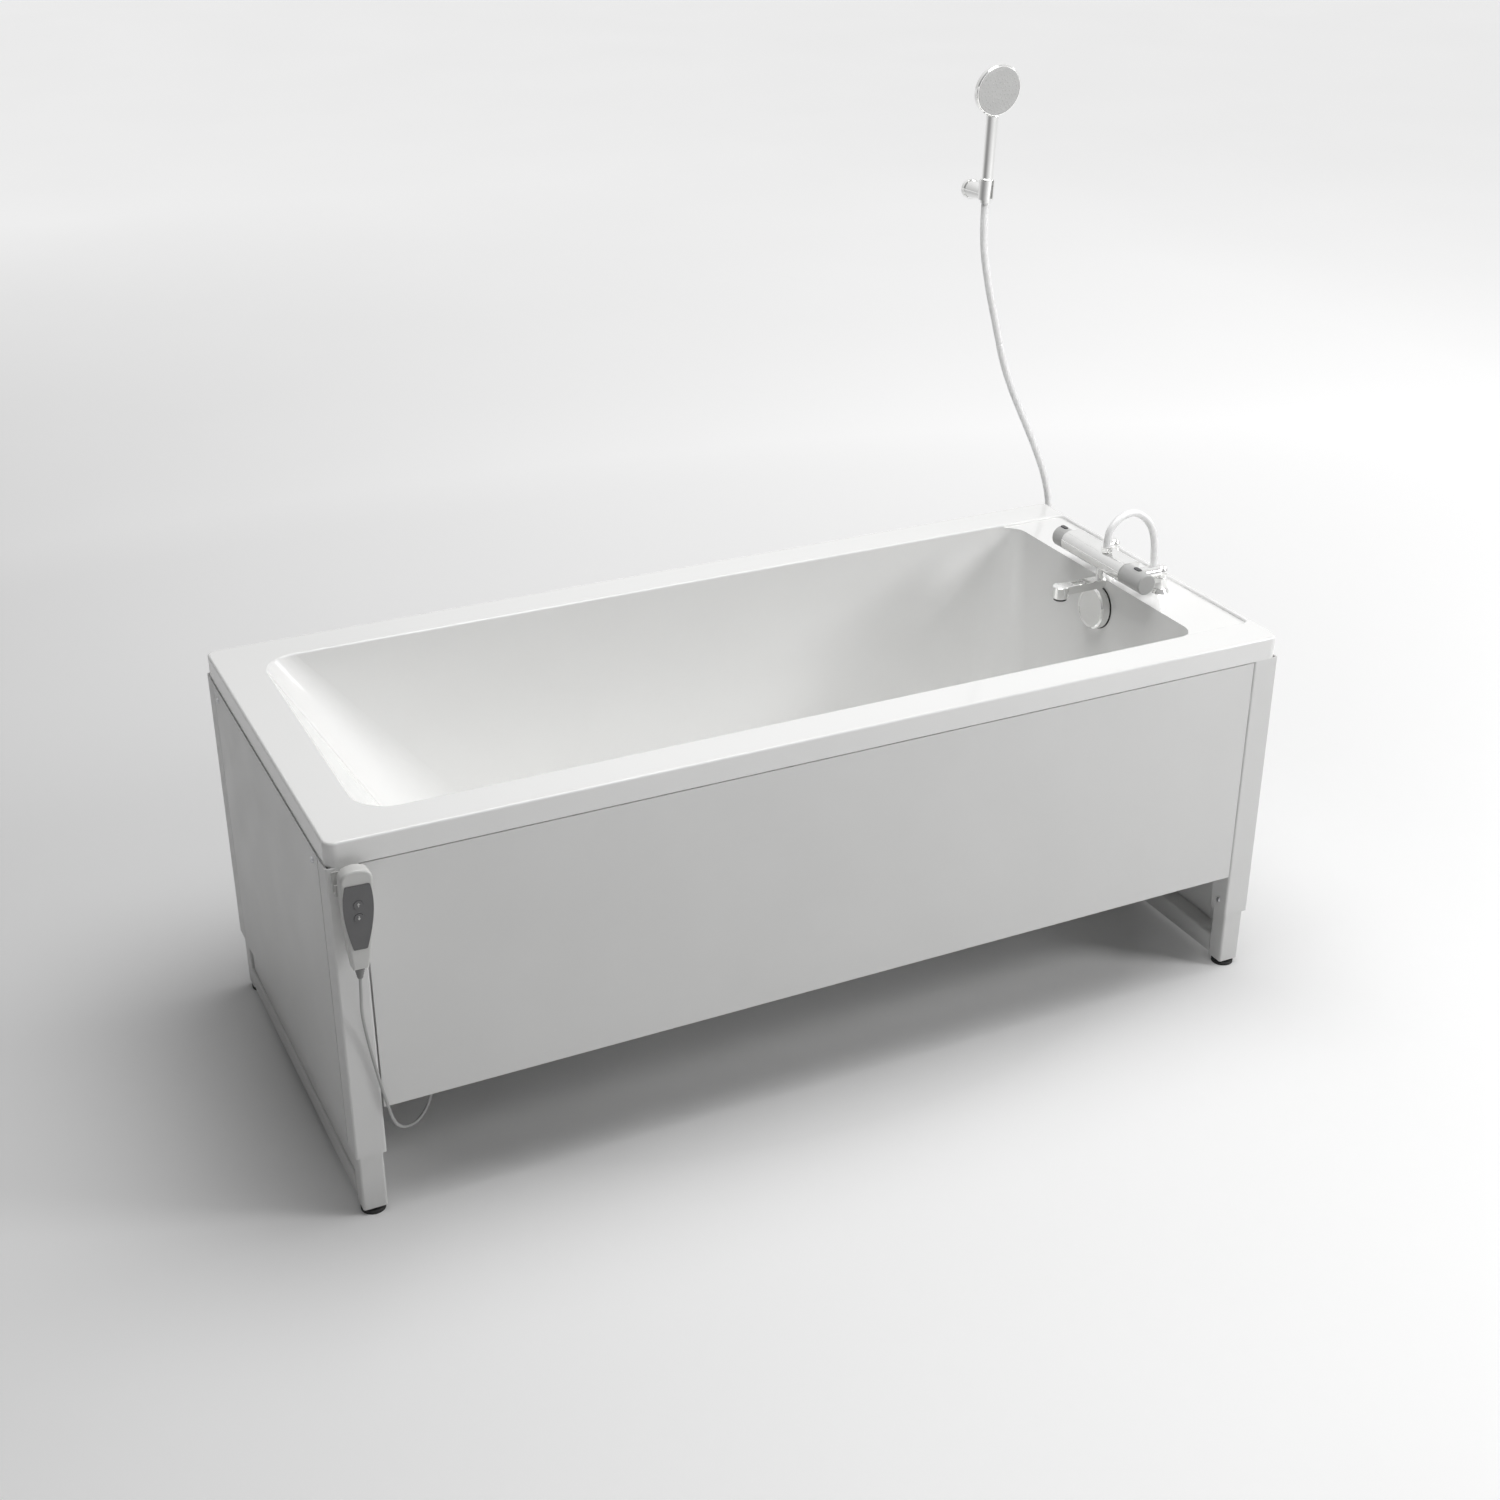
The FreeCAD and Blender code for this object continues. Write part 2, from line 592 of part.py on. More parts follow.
def basin_outline(grow, head_run, side_run, tap_run, head_radius, tap_radius):
    return rounded(f"{HEAD_X} + {head_run} - {grow}", f"{TAP_X} - {tap_run} + {grow}",
                   f"-{SIDE_Y} + {side_run} - {grow}", f"{SIDE_Y} - {side_run} + {grow}",
                   f"{head_radius} + {grow}", f"{tap_radius} + {grow}",
                   f"{tap_radius} + {grow}", f"{head_radius} + {grow}")


shell = body("shell")
rim = rounded("-tub_length / 2", "tub_length / 2", "-tub_width / 2", "tub_width / 2", "rim_corner")
pad(shell, sketch(shell, "XY_Plane", [rim], offset=APRON), "rim_depth")
inside = rounded("-tub_length / 2 + apron_wall", "tub_length / 2 - apron_wall", "-tub_width / 2 + apron_wall",
                 "tub_width / 2 - apron_wall", "rim_corner - apron_wall")
pocket(shell, sketch(shell, "XY_Plane", [inside], offset=APRON), "rim_depth - rim_skin", backwards=True)
high = basin_outline("shell_wall", "0", "0", "0", "head_corner", "tap_corner")
low = basin_outline("shell_wall", "backrest_run", "wall_run", "wall_run", "head_low_corner", "tap_low_corner")
basin = loft(shell, "AdditiveLoft", [sketch(shell, "XY_Plane", [high], offset="rim_top"),
                                     sketch(shell, "XY_Plane", [low], offset=UNDER)])
high = basin_outline("0", "0", "0", "0", "head_corner", "tap_corner")
low = basin_outline("0", "backrest_run", "wall_run", "wall_run", "head_low_corner", "tap_low_corner")
hollow = loft(shell, "SubtractiveLoft", [sketch(shell, "XY_Plane", [high], offset="rim_top"),
                                         sketch(shell, "XY_Plane", [low], offset=FLOOR)])
inner_round = fillet(shell, hollow, edges(hollow, level(value(FLOOR))), "basin_fillet")
outer_round = fillet(shell, inner_round, edges(inner_round, level(value(UNDER))), "basin_fillet + shell_wall")
inward = value("tub_length / 2 - apron_wall")
across = value("tub_width / 2 - apron_wall")


def on_opening(spots):
    return level(value("rim_top"))(spots) and all(abs(p.x) < inward and abs(p.y) < across for p in spots)


fillet(shell, outer_round, edges(outer_round, on_opening), "opening_edge")
deck = rounded(f"{TAP_X} - deck_reach", "tub_length / 2 - deck_margin", f"-{SIDE_Y} + deck_inset",
               f"{SIDE_Y} - deck_inset", "deck_corner")
sunk = pocket(shell, sketch(shell, "XY_Plane", [deck], offset="rim_top"), "deck_drop")
holes = [(PILLAR_X, y, "tail_radius + deck_hole_clear") for y in PILLARS_Y]
holes.append((GLAND_X, GLAND_Y, "deck_gland_body + drain_clear / 2"))
pocket(shell, sketch(shell, "XY_Plane", circles=holes, offset="rim_top"), "rim_skin + overrun")
drain = [(DRAIN_X, "fittings_y", "drain_tube + drain_clear")]
pocket(shell, sketch(shell, "XY_Plane", circles=drain, offset=f"{FLOOR} + overrun"), "shell_wall + 2 * overrun")
way = sketch(shell, "YZ_Plane", circles=[("fittings_y", KNOB_Z, "overflow_hole")], offset=f"{TAP_X} - rim_side")
bored = pocket(shell, way, "2 * rim_side", backwards=True)
outline_y = value("tub_width / 2")
outline_x = value("tub_length / 2")


def on_rim(spots):
    return level(value("rim_top"))(spots) and all(
        abs(p.x) > outline_x - value("rim_corner") or abs(p.y) > outline_y - value("rim_corner") for p in spots)


top_round = fillet(shell, bored, edges(bored, on_rim), "rim_edge")
node(shell, "tub_shell")


# Legs. The inner legs stand on the feet and carry the cross tubes; the sleeves slide on them.
LEG_X = "(tub_length / 2 + sleeve_proud - sleeve_length / 2)"
LEG_Y = "(tub_width / 2 - sleeve_width / 2)"
LEG_LONG = "(sleeve_length - 2 * sleeve_wall - 2 * leg_gap)"
LEG_WIDE = "(sleeve_width - 2 * sleeve_wall - 2 * leg_gap)"
BORE_LONG = "(sleeve_length - 2 * sleeve_wall)"
BORE_WIDE = "(sleeve_width - 2 * sleeve_wall)"
CORNERS = [("front_left", None), ("front_right", V(1, 0, 0)), ("back_left", V(0, 1, 0))]


def centred(length, width, corner):
    return rounded(f"-{length} / 2", f"{length} / 2", f"-{width} / 2", f"{width} / 2", corner)


def each_corner(kind, source):
    """The piece at the front left, and its mirror images at the other three corners."""
    node(source, kind + "_front_left")
    right = node(mirrored(kind + "_fr", source, V(1, 0, 0)), kind + "_front_right")
    node(mirrored(kind + "_bl", source, V(0, 1, 0)), kind + "_back_left")
    node(mirrored(kind + "_br", right, V(0, 1, 0)), kind + "_back_right")


leg = body("inner_leg")
hollow_leg = [centred(LEG_LONG, LEG_WIDE, "sleeve_corner"),
              centred(f"({LEG_LONG} - 2 * leg_wall)", f"({LEG_WIDE} - 2 * leg_wall)", "sleeve_corner - leg_wall")]
pad(leg, sketch(leg, "XY_Plane", hollow_leg, offset="leg_bottom"), "leg_top - leg_bottom")
pad(leg, sketch(leg, "XY_Plane", hollow_leg[1:], [("0", "0", "foot_stud + run_fit")], "leg_bottom"), "leg_plug")
put(leg, f"-{LEG_X}", f"-{LEG_Y}")
each_corner("leg", leg)

sleeve = body("outer_leg")
hollow_sleeve = [centred("sleeve_length", "sleeve_width", "sleeve_corner"),
                 centred(BORE_LONG, BORE_WIDE, "sleeve_corner - sleeve_wall")]
pad(sleeve, sketch(sleeve, "XY_Plane", hollow_sleeve, offset="sleeve_bottom"), f"{APRON} - sleeve_bottom")
MOTOR_Z = f"({APRON} - gearbox_drop - gearbox_height / 2)"
side_holes = [("0", MOTOR_Z, "motor_radius + motor_clear"),
              ("0", "sleeve_bottom + glide_screw_rise", "screw_shank + screw_clear")]
pocket(sleeve, sketch(sleeve, "YZ_Plane", circles=side_holes), "sleeve_length", backwards=True)
put(sleeve, f"-{LEG_X}", f"-{LEG_Y}")
each_corner("sleeve", sleeve)

foot = body("levelling_foot")
outline = [("0", "0"), ("foot_radius", "0"), ("foot_radius", "foot_pad - foot_edge"),
           ("foot_radius - foot_edge", "foot_pad"), ("foot_neck", "foot_pad"), ("foot_neck", "leg_bottom"),
           ("foot_stud", "leg_bottom"), ("foot_stud", "foot_stud_top"), ("0", "foot_stud_top")]
revolve(foot, sketch(foot, "XZ_Plane", [(outline, {})]))
put(foot, f"-{LEG_X}", f"-{LEG_Y}")
each_corner("foot", foot)

spindle = body("lift_spindle")
SPINDLE_TOP = f"({APRON} - gearbox_drop - gearbox_height + spindle_seat)"
outline = [("0", "spindle_bottom"), ("spindle_radius - spindle_chamfer", "spindle_bottom"),
           ("spindle_radius", "spindle_bottom + spindle_chamfer"),
           ("spindle_radius", f"{SPINDLE_TOP} - spindle_chamfer"),
           ("spindle_radius - spindle_chamfer", SPINDLE_TOP), ("0", SPINDLE_TOP)]
revolve(spindle, sketch(spindle, "XZ_Plane", [(outline, {})]))
put(spindle, f"-{LEG_X}", f"-{LEG_Y}")
each_corner("spindle", spindle)

cross = body("cross_tube")
CROSS_MID = "(cross_bottom + cross_size / 2)"
ring = [rounded(f"-{LEG_LONG} / 2", f"{LEG_LONG} / 2", "cross_bottom", "cross_bottom + cross_size", "cross_corner"),
        rounded(f"-{LEG_LONG} / 2 + cross_wall", f"{LEG_LONG} / 2 - cross_wall", "cross_bottom + cross_wall",
                "cross_bottom + cross_size - cross_wall", "cross_corner - cross_wall")]
CROSS_END = f"({LEG_Y} - {LEG_WIDE} / 2)"
pad(cross, sketch(cross, "XZ_Plane", ring, offset=f"-{CROSS_END}"), f"2 * {CROSS_END}")
put(cross, f"-{LEG_X}")

# A skirt stands on each cross tube, inside the end panel, and keeps that end closed while the bath is raised.
skirt = body("end_skirt")
SKIRT_SIDE = f"({LEG_Y} - sleeve_width / 2 - skirt_gap)"
skirt_outline = rounded("-" + SKIRT_SIDE, SKIRT_SIDE, "cross_bottom + cross_size",
                        "cross_bottom + cross_size + skirt_height", "skirt_corner")
pad(skirt, sketch(skirt, "YZ_Plane", [skirt_outline], offset=f"cross_corner - {LEG_X} - {LEG_LONG} / 2"),
    "skirt_sheet")
cross_pair = group("cross_with_skirt", cross, skirt)
node(cross_pair, "cross_tube_left")
node(mirrored("cross_tube_far", cross_pair, V(1, 0, 0)), "cross_tube_right")


def at_leg(thing):
    return put(thing, f"-{LEG_X}", f"-{LEG_Y}")


head = body("leg_head")
collar = centred(f"({BORE_LONG} - 2 * glide_clear)", f"({BORE_WIDE} - 2 * glide_clear)", "sleeve_corner - sleeve_wall")
nut_bore = [("0", "0", "spindle_radius + run_fit")]
pad(head, sketch(head, "XY_Plane", [collar], nut_bore, "leg_top"), "head_cap")
pad(head, sketch(head, "XY_Plane", hollow_leg[1:], nut_bore, "leg_top"), "head_plug", backwards=True)
node(four_corners("leg_heads", at_leg(head)), "leg_heads")

glide = body("lower_glide")
glide_ring = [centred(BORE_LONG, BORE_WIDE, "sleeve_corner - sleeve_wall"),
              centred(f"({LEG_LONG} + 2 * glide_clear)", f"({LEG_WIDE} + 2 * glide_clear)", "sleeve_corner")]
pad(glide, sketch(glide, "XY_Plane", glide_ring, offset="sleeve_bottom"), "glide_height")
glide_hole = [("0", "sleeve_bottom + glide_screw_rise", "screw_shank + screw_clear")]
pocket(glide, sketch(glide, "YZ_Plane", circles=glide_hole), "sleeve_length", backwards=True)
node(four_corners("lower_glides", at_leg(glide)), "lower_glides")

gear = body("gear_motor")
GEAR_UNDER = f"({APRON} - gearbox_drop - gearbox_height)"
pad(gear, sketch(gear, "XY_Plane", [centred(BORE_LONG, BORE_WIDE, "sleeve_corner - sleeve_wall")],
                 offset=GEAR_UNDER), "gearbox_height")
pad(gear, sketch(gear, "YZ_Plane", circles=[("0", MOTOR_Z, "motor_radius")]), "sleeve_length / 2 + motor_length")
pad(gear, sketch(gear, "YZ_Plane", circles=[("0", MOTOR_Z, "motor_radius + motor_cap_step")],
                 offset="sleeve_length / 2 + motor_length - motor_cap"), "motor_cap")
pocket(gear, sketch(gear, "XY_Plane", circles=nut_bore, offset=GEAR_UNDER), "spindle_seat + run_fit", backwards=True)
node(four_corners("gear_motors", at_leg(gear)), "gear_motors")

# Rails between the sleeves, and the brackets that carry the rim.
RAIL_END = f"({LEG_X} - sleeve_length / 2)"
RAIL_FRONT = "(-tub_width / 2 + panel_sheet)"
RAIL_UNDER = "(rail_top - rail_size)"


def tube_outline(x0, x1, y0, y1):
    return [rounded(x0, x1, y0, y1, "rail_corner"),
            rounded(f"{x0} + rail_wall", f"{x1} - rail_wall", f"{y0} + rail_wall", f"{y1} - rail_wall",
                    "rail_corner - rail_wall")]


rail = body("side_rail")
pad(rail, sketch(rail, "YZ_Plane", tube_outline(RAIL_FRONT, f"{RAIL_FRONT} + rail_size", RAIL_UNDER, "rail_top"),
                 offset=f"-{RAIL_END}"), f"2 * {RAIL_END}")
node(both_sides("side_rails", rail), "side_rails")

end_rail = body("end_rail")
END_FACE = "(-tub_length / 2 - sleeve_proud + end_panel_sheet)"
END_TOP = f"({APRON} - end_rail_drop)"
SCREW_Z = f"({APRON} - screw_drop)"
END_SIDE = f"({LEG_Y} - sleeve_width / 2)"
pad(end_rail, sketch(end_rail, "XZ_Plane", tube_outline(END_FACE, f"{END_FACE} + end_rail_depth",
                                                        f"{END_TOP} - end_rail_height", END_TOP),
                     offset=f"-{END_SIDE}"), f"2 * {END_SIDE}")
SCREW_Y = f"({END_SIDE} - screw_inset)"
screw_holes = [(side + SCREW_Y, SCREW_Z, "screw_shank + screw_clear") for side in ("-", "")]
pocket(end_rail, sketch(end_rail, "YZ_Plane", circles=screw_holes, offset=f"{END_FACE} + rail_wall + overrun"),
       "rail_wall + 2 * overrun")
node(both_ends("end_rails", end_rail), "end_rails")

bracket = body("rim_bracket")
B_BACK = f"({RAIL_FRONT} + panel_sheet + bracket_flange + bracket_sheet)"
B_FRONT = f"({RAIL_FRONT} + panel_sheet + bracket_sheet)"
B_TOP = DECK_UNDER
outline = [(B_FRONT, "rail_top"), (B_BACK, "rail_top"), (B_BACK, B_TOP), (B_FRONT, B_TOP),
           (B_FRONT, f"{B_TOP} - bracket_sheet"), (f"{B_BACK} - bracket_sheet", f"{B_TOP} - bracket_sheet"),
           (f"{B_BACK} - bracket_sheet", "rail_top + bracket_sheet"), (B_FRONT, "rail_top + bracket_sheet")]
pad(bracket, sketch(bracket, "YZ_Plane", [(outline, {})], offset="-bracket_width / 2"), "bracket_width")
middle_pair = both_sides("middle_brackets", bracket)
left_pair = doc.addObject("Part::Compound", "left_brackets")
left_pair.Links = [middle_pair]
put(left_pair, f"bracket_inset - {RAIL_END}")
right_pair = mirrored("right_brackets", left_pair, V(1, 0, 0))
middle_again = group("middle_brackets_whole", middle_pair)
node(group("rim_brackets", middle_again, left_pair, right_pair), "rim_brackets")

# Panels and their screws.
panel = body("panel_front")
P_FRONT = "(-tub_width / 2)"
P_TOP = f"({APRON} - panel_gap)"
outline = [(P_FRONT, "panel_bottom"), (f"{P_FRONT} + panel_flange", "panel_bottom"),
           (f"{P_FRONT} + panel_flange", "panel_bottom + panel_sheet"),
           (f"{P_FRONT} + panel_sheet", "panel_bottom + panel_sheet"),
           (f"{P_FRONT} + panel_sheet", f"{P_TOP} - panel_sheet"),
           (f"{P_FRONT} + panel_flange", f"{P_TOP} - panel_sheet"), (f"{P_FRONT} + panel_flange", P_TOP),
           (P_FRONT, P_TOP)]
pad(panel, sketch(panel, "YZ_Plane", [(outline, {})], offset=f"-{RAIL_END} + panel_gap"),
    f"2 * {RAIL_END} - 2 * panel_gap")
node(panel, "front_panel")

end_panel = body("panel_end")
END_OUT = "(-tub_length / 2 - sleeve_proud)"
sheet_outline = rounded(f"-{END_SIDE} + end_panel_gap", f"{END_SIDE} - end_panel_gap", "sleeve_bottom",
                        f"{APRON} - end_panel_gap", "end_panel_edge")
plate = pad(end_panel, sketch(end_panel, "YZ_Plane", [sheet_outline], screw_holes, END_OUT), "end_panel_sheet")
node(end_panel, "end_panel_left")
node(mirrored("panel_end_far", end_panel, V(1, 0, 0)), "end_panel_right")


def screw(name, length, x, y, z):
    """Pan-head screw whose head seats at the place given, drawn along Z."""
    thing = body(name)
    outline = [("0", "-screw_rise"), ("screw_head - screw_rise / 2", "-screw_rise"), ("screw_head", "0"),
               ("screw_shank", "0"), ("screw_shank", length), ("0", length)]
    revolve(thing, sketch(thing, "XZ_Plane", [(outline, {})]))
    return put(thing, x, y, z)


panel_screw = turned(screw("panel_screw", "screw_length", END_OUT, "-" + SCREW_Y, SCREW_Z), V(0, 1, 0), 90)
glide_screw = turned(screw("glide_screw", "glide_screw_length", f"-{RAIL_END}", f"-{LEG_Y}",
                           "sleeve_bottom + glide_screw_rise"), V(0, 1, 0), -90)
node(four_corners("panel_screws", group("screw_pair", panel_screw, glide_screw)), "panel_screws")

# Control box under the front rail, with its cable gland and the inlet for the supply.
unit = body("control_unit")
C_X0 = f"(-{LEG_X} + control_start - sleeve_length / 2)"
C_Y0 = "(-tub_width / 2 + control_back)"
C_Z0 = f"({RAIL_UNDER} - control_height)"
pad(unit, sketch(unit, "XY_Plane", [rounded(C_X0, f"{C_X0} + control_length", C_Y0, f"{C_Y0} + control_depth",
                                            "control_corner")], offset=C_Z0), "control_height")
CABLE_X = f"({C_X0} + gland_side)"
CABLE_Y = "(-tub_width / 2 + gland_back)"
pad(unit, sketch(unit, "XY_Plane", circles=[(CABLE_X, CABLE_Y, "gland_radius")], offset=C_Z0), "gland_height",
    backwards=True)
inlet = rounded(f"{C_Y0} + control_depth / 2 - inlet_width / 2", f"{C_Y0} + control_depth / 2 + inlet_width / 2",
                f"{C_Z0} + control_height / 2 - inlet_height / 2", f"{C_Z0} + control_height / 2 + inlet_height / 2",
                "gasket_depth")
pocket(unit, sketch(unit, "YZ_Plane", [inlet], offset=f"{C_X0} + control_length"), "inlet_depth")
node(unit, "control_box")

# Waste and overflow on the tub's middle line at the tap end.
WALL_X = f"({TAP_X} - wall_run * knob_drop / basin_depth)"
gasket = body("gasket")
pad(gasket, sketch(gasket, "YZ_Plane", circles=[("0", "0", "gasket_radius"), ("0", "0", "overflow_hole")]),
    "gasket_depth", backwards=True)
turned(gasket, V(0, 1, 0), math.degrees(math.atan2(value("wall_run"), value("basin_depth"))))
put(gasket, WALL_X, "fittings_y", KNOB_Z)
node(gasket, "overflow_gasket")

knob = body("knob")
dial = [("gasket_depth", "0"), ("gasket_depth", "knob_radius"), ("gasket_depth + knob_depth - knob_edge", "knob_radius"),
        ("gasket_depth + knob_depth", "knob_radius - knob_edge"), ("gasket_depth + knob_depth", "knob_grip"),
        ("gasket_depth + knob_depth - knob_dish", "knob_grip - knob_dish"),
        ("gasket_depth + knob_depth - knob_dish", "0")]
profile = [("0", "-overflow_flange_depth"), ("overflow_hub", "-overflow_flange_depth"), ("overflow_hub", "gasket_depth")]
profile += [(y, x) for x, y in dial[1:]]
revolve(knob, sketch(knob, "XZ_Plane", [(profile, {})]))
turned(knob, V(0, 1, 0), -90 + math.degrees(math.atan2(value("wall_run"), value("basin_depth"))))
put(knob, WALL_X, "fittings_y", KNOB_Z)
node(knob, "overflow_knob")


def tube_path(points, radii):
    """Straight runs joined by tangent arcs, as one wire. Each radius belongs to an inner point."""
    pieces = []
    here = points[0]
    for before, corner, after, radius in zip(points, points[1:], points[2:], radii):
        into = (corner - before).normalize()
        out = (after - corner).normalize()
        turn = into.getAngle(out)
        back = radius * math.tan(turn / 2)
        start = corner - into * back
        end = corner + out * back
        inward = (out - into).normalize()
        middle = corner + inward * (radius / math.cos(turn / 2) - radius)
        pieces.append(Part.LineSegment(here, start).toShape())
        pieces.append(Part.Arc(start, middle, end).toShape())
        here = end
    pieces.append(Part.LineSegment(here, points[-1]).toShape())
    return Part.Wire(pieces)


def swept(path, radius, bore=0):
    """Round tube along a path."""
    def solid(size):
        start = path.Edges[0]
        circle = Part.Circle(start.valueAt(start.FirstParameter), start.tangentAt(start.FirstParameter), size)
        return path.makePipeShell([Part.Wire([circle.toShape()])], True, False)
    return solid(radius).cut(solid(bore)) if bore else solid(radius)


def spot(x, y, z):
    return V(value(x), value(y), value(z))


PIPE_X = f"({TAP_X} + pipe_back)"
PIPE_LOW = f"({FLOOR} - shell_wall - pipe_drop + pipe_radius)"
run = tube_path([spot(f"{WALL_X} + shell_wall + overflow_flange_depth / 2", "fittings_y", KNOB_Z),
                 spot(PIPE_X, "fittings_y", KNOB_Z), spot(PIPE_X, "fittings_y", PIPE_LOW),
                 spot(f"{DRAIN_X} + drain_bore", "fittings_y", PIPE_LOW)],
                [value("pipe_radius")] + [value("pipe_bend")])
pipe = doc.addObject("Part::Feature", "overflow_tube")
pipe.Shape = swept(run, value("pipe_radius"), value("pipe_bore"))
flange = cut("overflow_flange_ring",
             rod("overflow_disc", "overflow_flange", "0", "0", "0", "overflow_flange_depth", "x"),
             rod("overflow_disc_bore", "pipe_bore", "0", "0", "0", "overflow_flange_depth", "x"))
turned(flange, V(0, 1, 0), math.degrees(math.atan2(value("wall_run"), value("basin_depth + shell_wall"))))
OUTER_X = f"({TAP_X} + shell_wall - wall_run * knob_drop / (basin_depth + shell_wall))"
put(flange, f"{OUTER_X} + run_fit", "fittings_y", KNOB_Z)
saddle = rod("pipe_saddle", "drain_tube + run_fit", DRAIN_X, "fittings_y", f"{PIPE_LOW} - 2 * pipe_radius",
             "4 * pipe_radius")
node(cut("overflow_pipe", fuse("overflow_run", flange, pipe), saddle), "overflow_pipe")

# The drain: flange on the floor, tube through it, nut below, and a cross that guides the plug's stem.
drain_top = f"({FLOOR} + drain_flange_rise)"
waste = cut("waste_ring",
            fuse("waste_outside", rod("waste_flange", "drain_flange", DRAIN_X, "fittings_y", FLOOR, "drain_flange_rise"),
                 rod("waste_tube", "drain_tube", DRAIN_X, "fittings_y", f"{FLOOR} - shell_wall - drain_length",
                     "drain_length + shell_wall"),
                 rod("waste_nut", "drain_nut", DRAIN_X, "fittings_y", f"{FLOOR} - shell_wall - drain_nut_height",
                     "drain_nut_height")),
            rod("waste_bore", "drain_bore", DRAIN_X, "fittings_y", f"{FLOOR} - shell_wall - drain_length",
                "drain_length + shell_wall + overrun"),
            rod("waste_side_bore", "pipe_bore", DRAIN_X, "fittings_y", PIPE_LOW, "drain_flange", "x"))
CROSS_Z = f"({FLOOR} - shell_wall - drain_nut_height)"
spider = cut("waste_spider",
             fuse("waste_cross",
                  box("waste_arm_x", f"{DRAIN_X} - drain_bore", f"{DRAIN_X} + drain_bore",
                      "fittings_y - spider_arm / 2", "fittings_y + spider_arm / 2", CROSS_Z, f"{CROSS_Z} + spider_height"),
                  box("waste_arm_y", f"{DRAIN_X} - spider_arm / 2", f"{DRAIN_X} + spider_arm / 2",
                      "fittings_y - drain_bore", "fittings_y + drain_bore", CROSS_Z, f"{CROSS_Z} + spider_height"),
                  rod("waste_boss", "plug_stem + spider_arm / 2", DRAIN_X, "fittings_y", CROSS_Z, "spider_height")),
             rod("waste_guide", "plug_stem + run_fit", DRAIN_X, "fittings_y", CROSS_Z, "spider_height"))
node(fuse("waste_body", waste, spider), "waste_body")

plug = body("plug")
PLUG_LOW = f"({drain_top} + plug_seat_gap)"
profile = [("0", f"{PLUG_LOW} - plug_stem_length"), ("plug_stem", f"{PLUG_LOW} - plug_stem_length"),
           ("plug_stem", PLUG_LOW), ("plug_radius", PLUG_LOW), ("plug_radius", f"{PLUG_LOW} + plug_rise / 2"),
           ("plug_radius - plug_rise / 2", f"{PLUG_LOW} + plug_rise"), ("0", f"{PLUG_LOW} + plug_rise")]
revolve(plug, sketch(plug, "XZ_Plane", [(profile, {})]))
put(plug, DRAIN_X, "fittings_y")
node(plug, "drain_plug")

trap = body("trap")
TRAP_TOP = f"({FLOOR} - shell_wall - drain_length)"
profile = [("0", f"{TRAP_TOP} - trap_height"), ("trap_radius - trap_edge", f"{TRAP_TOP} - trap_height"),
           ("trap_radius", f"{TRAP_TOP} - trap_height + trap_edge"), ("trap_radius", TRAP_TOP), ("0", TRAP_TOP)]
revolve(trap, sketch(trap, "XZ_Plane", [(profile, {})]))
OUT_Z = f"({TRAP_TOP} - trap_outlet_drop)"
pad(trap, sketch(trap, "XZ_Plane", circles=[("0", OUT_Z, "trap_outlet")]), "trap_outlet_length", backwards=True)
pad(trap, sketch(trap, "XZ_Plane", circles=[("0", OUT_Z, "trap_collar")]), "trap_collar_length", backwards=True)
mouth = sketch(trap, "XZ_Plane", circles=[("0", OUT_Z, "trap_outlet_bore")], offset="-trap_outlet_length")
pocket(trap, mouth, "trap_outlet_length - trap_radius", backwards=True)
put(trap, DRAIN_X, "fittings_y")
node(trap, "waste_trap")

# Mixer across the tap deck.
MIX_X = f"({TAP_X} - mixer_back)"
MIX_Z = "(rim_top + mixer_rise)"
MIX_Y0 = "(mixer_y - mixer_front)"
MIX_Y1 = "(mixer_y + mixer_rear)"
mixer = body("mixer")
MIX_R = "mixer_radius"
outline = [("0", f"-{MIX_R}"), ("mixer_shelf - mixer_corner", f"-{MIX_R}"), ("mixer_shelf", f"mixer_corner - {MIX_R}"),
           ("mixer_shelf", f"{MIX_R} - mixer_corner"), ("mixer_shelf - mixer_corner", MIX_R), ("0", MIX_R),
           (f"-{MIX_R}", "0")]
arcs = {1: ("mixer_corner", 1), 3: ("mixer_corner", 1), 5: (MIX_R, 1), 6: (MIX_R, 1)}
pad(mixer, sketch(mixer, "XZ_Plane", [(outline, arcs)], offset=f"-{MIX_Y1}"), "mixer_front + mixer_rear")
for start, back in ((MIX_Y0, False), (MIX_Y1, True)):
    pad(mixer, sketch(mixer, "XZ_Plane", circles=[("0", "0", "spigot_radius")], offset=f"-{start}"), "spigot_length",
        backwards=back)
post_hole = [("0", "mixer_y + spout_y", "spout_post + run_fit")]
pocket(mixer, sketch(mixer, "XY_Plane", circles=post_hole, offset=f"-{MIX_R}"), "spout_seat + run_fit",
       backwards=True)
put(mixer, MIX_X, "0", MIX_Z)
node(mixer, "mixer_body")


def handle(name, length, button_at, outward):
    """Handle with a bore for its shaft and a pocket for its button; outward is its end's direction."""
    thing = body(name)
    near, far = "handle_gap", f"{length}"
    profile = [("spigot_radius + run_fit", near), ("handle_radius", near), ("handle_radius", f"{far} - handle_edge"),
               ("handle_radius - handle_edge", far), ("0", far), ("0", "spigot_length + handle_gap"),
               ("spigot_radius + run_fit", "spigot_length + handle_gap")]
    revolve(thing, sketch(thing, "XZ_Plane", [(profile, {})]))
    place = f"({length} - {button_at})"
    hole = rounded("-button_width / 2 - button_clear", "button_width / 2 + button_clear",
                   f"{place} - button_length / 2 - button_clear", f"{place} + button_length / 2 + button_clear",
                   "button_width / 2")
    pocket(thing, sketch(thing, "XZ_Plane", [hole], offset="button_height + button_travel + button_clear - handle_radius - button_rise"),
           "button_height + overrun")
    return thing


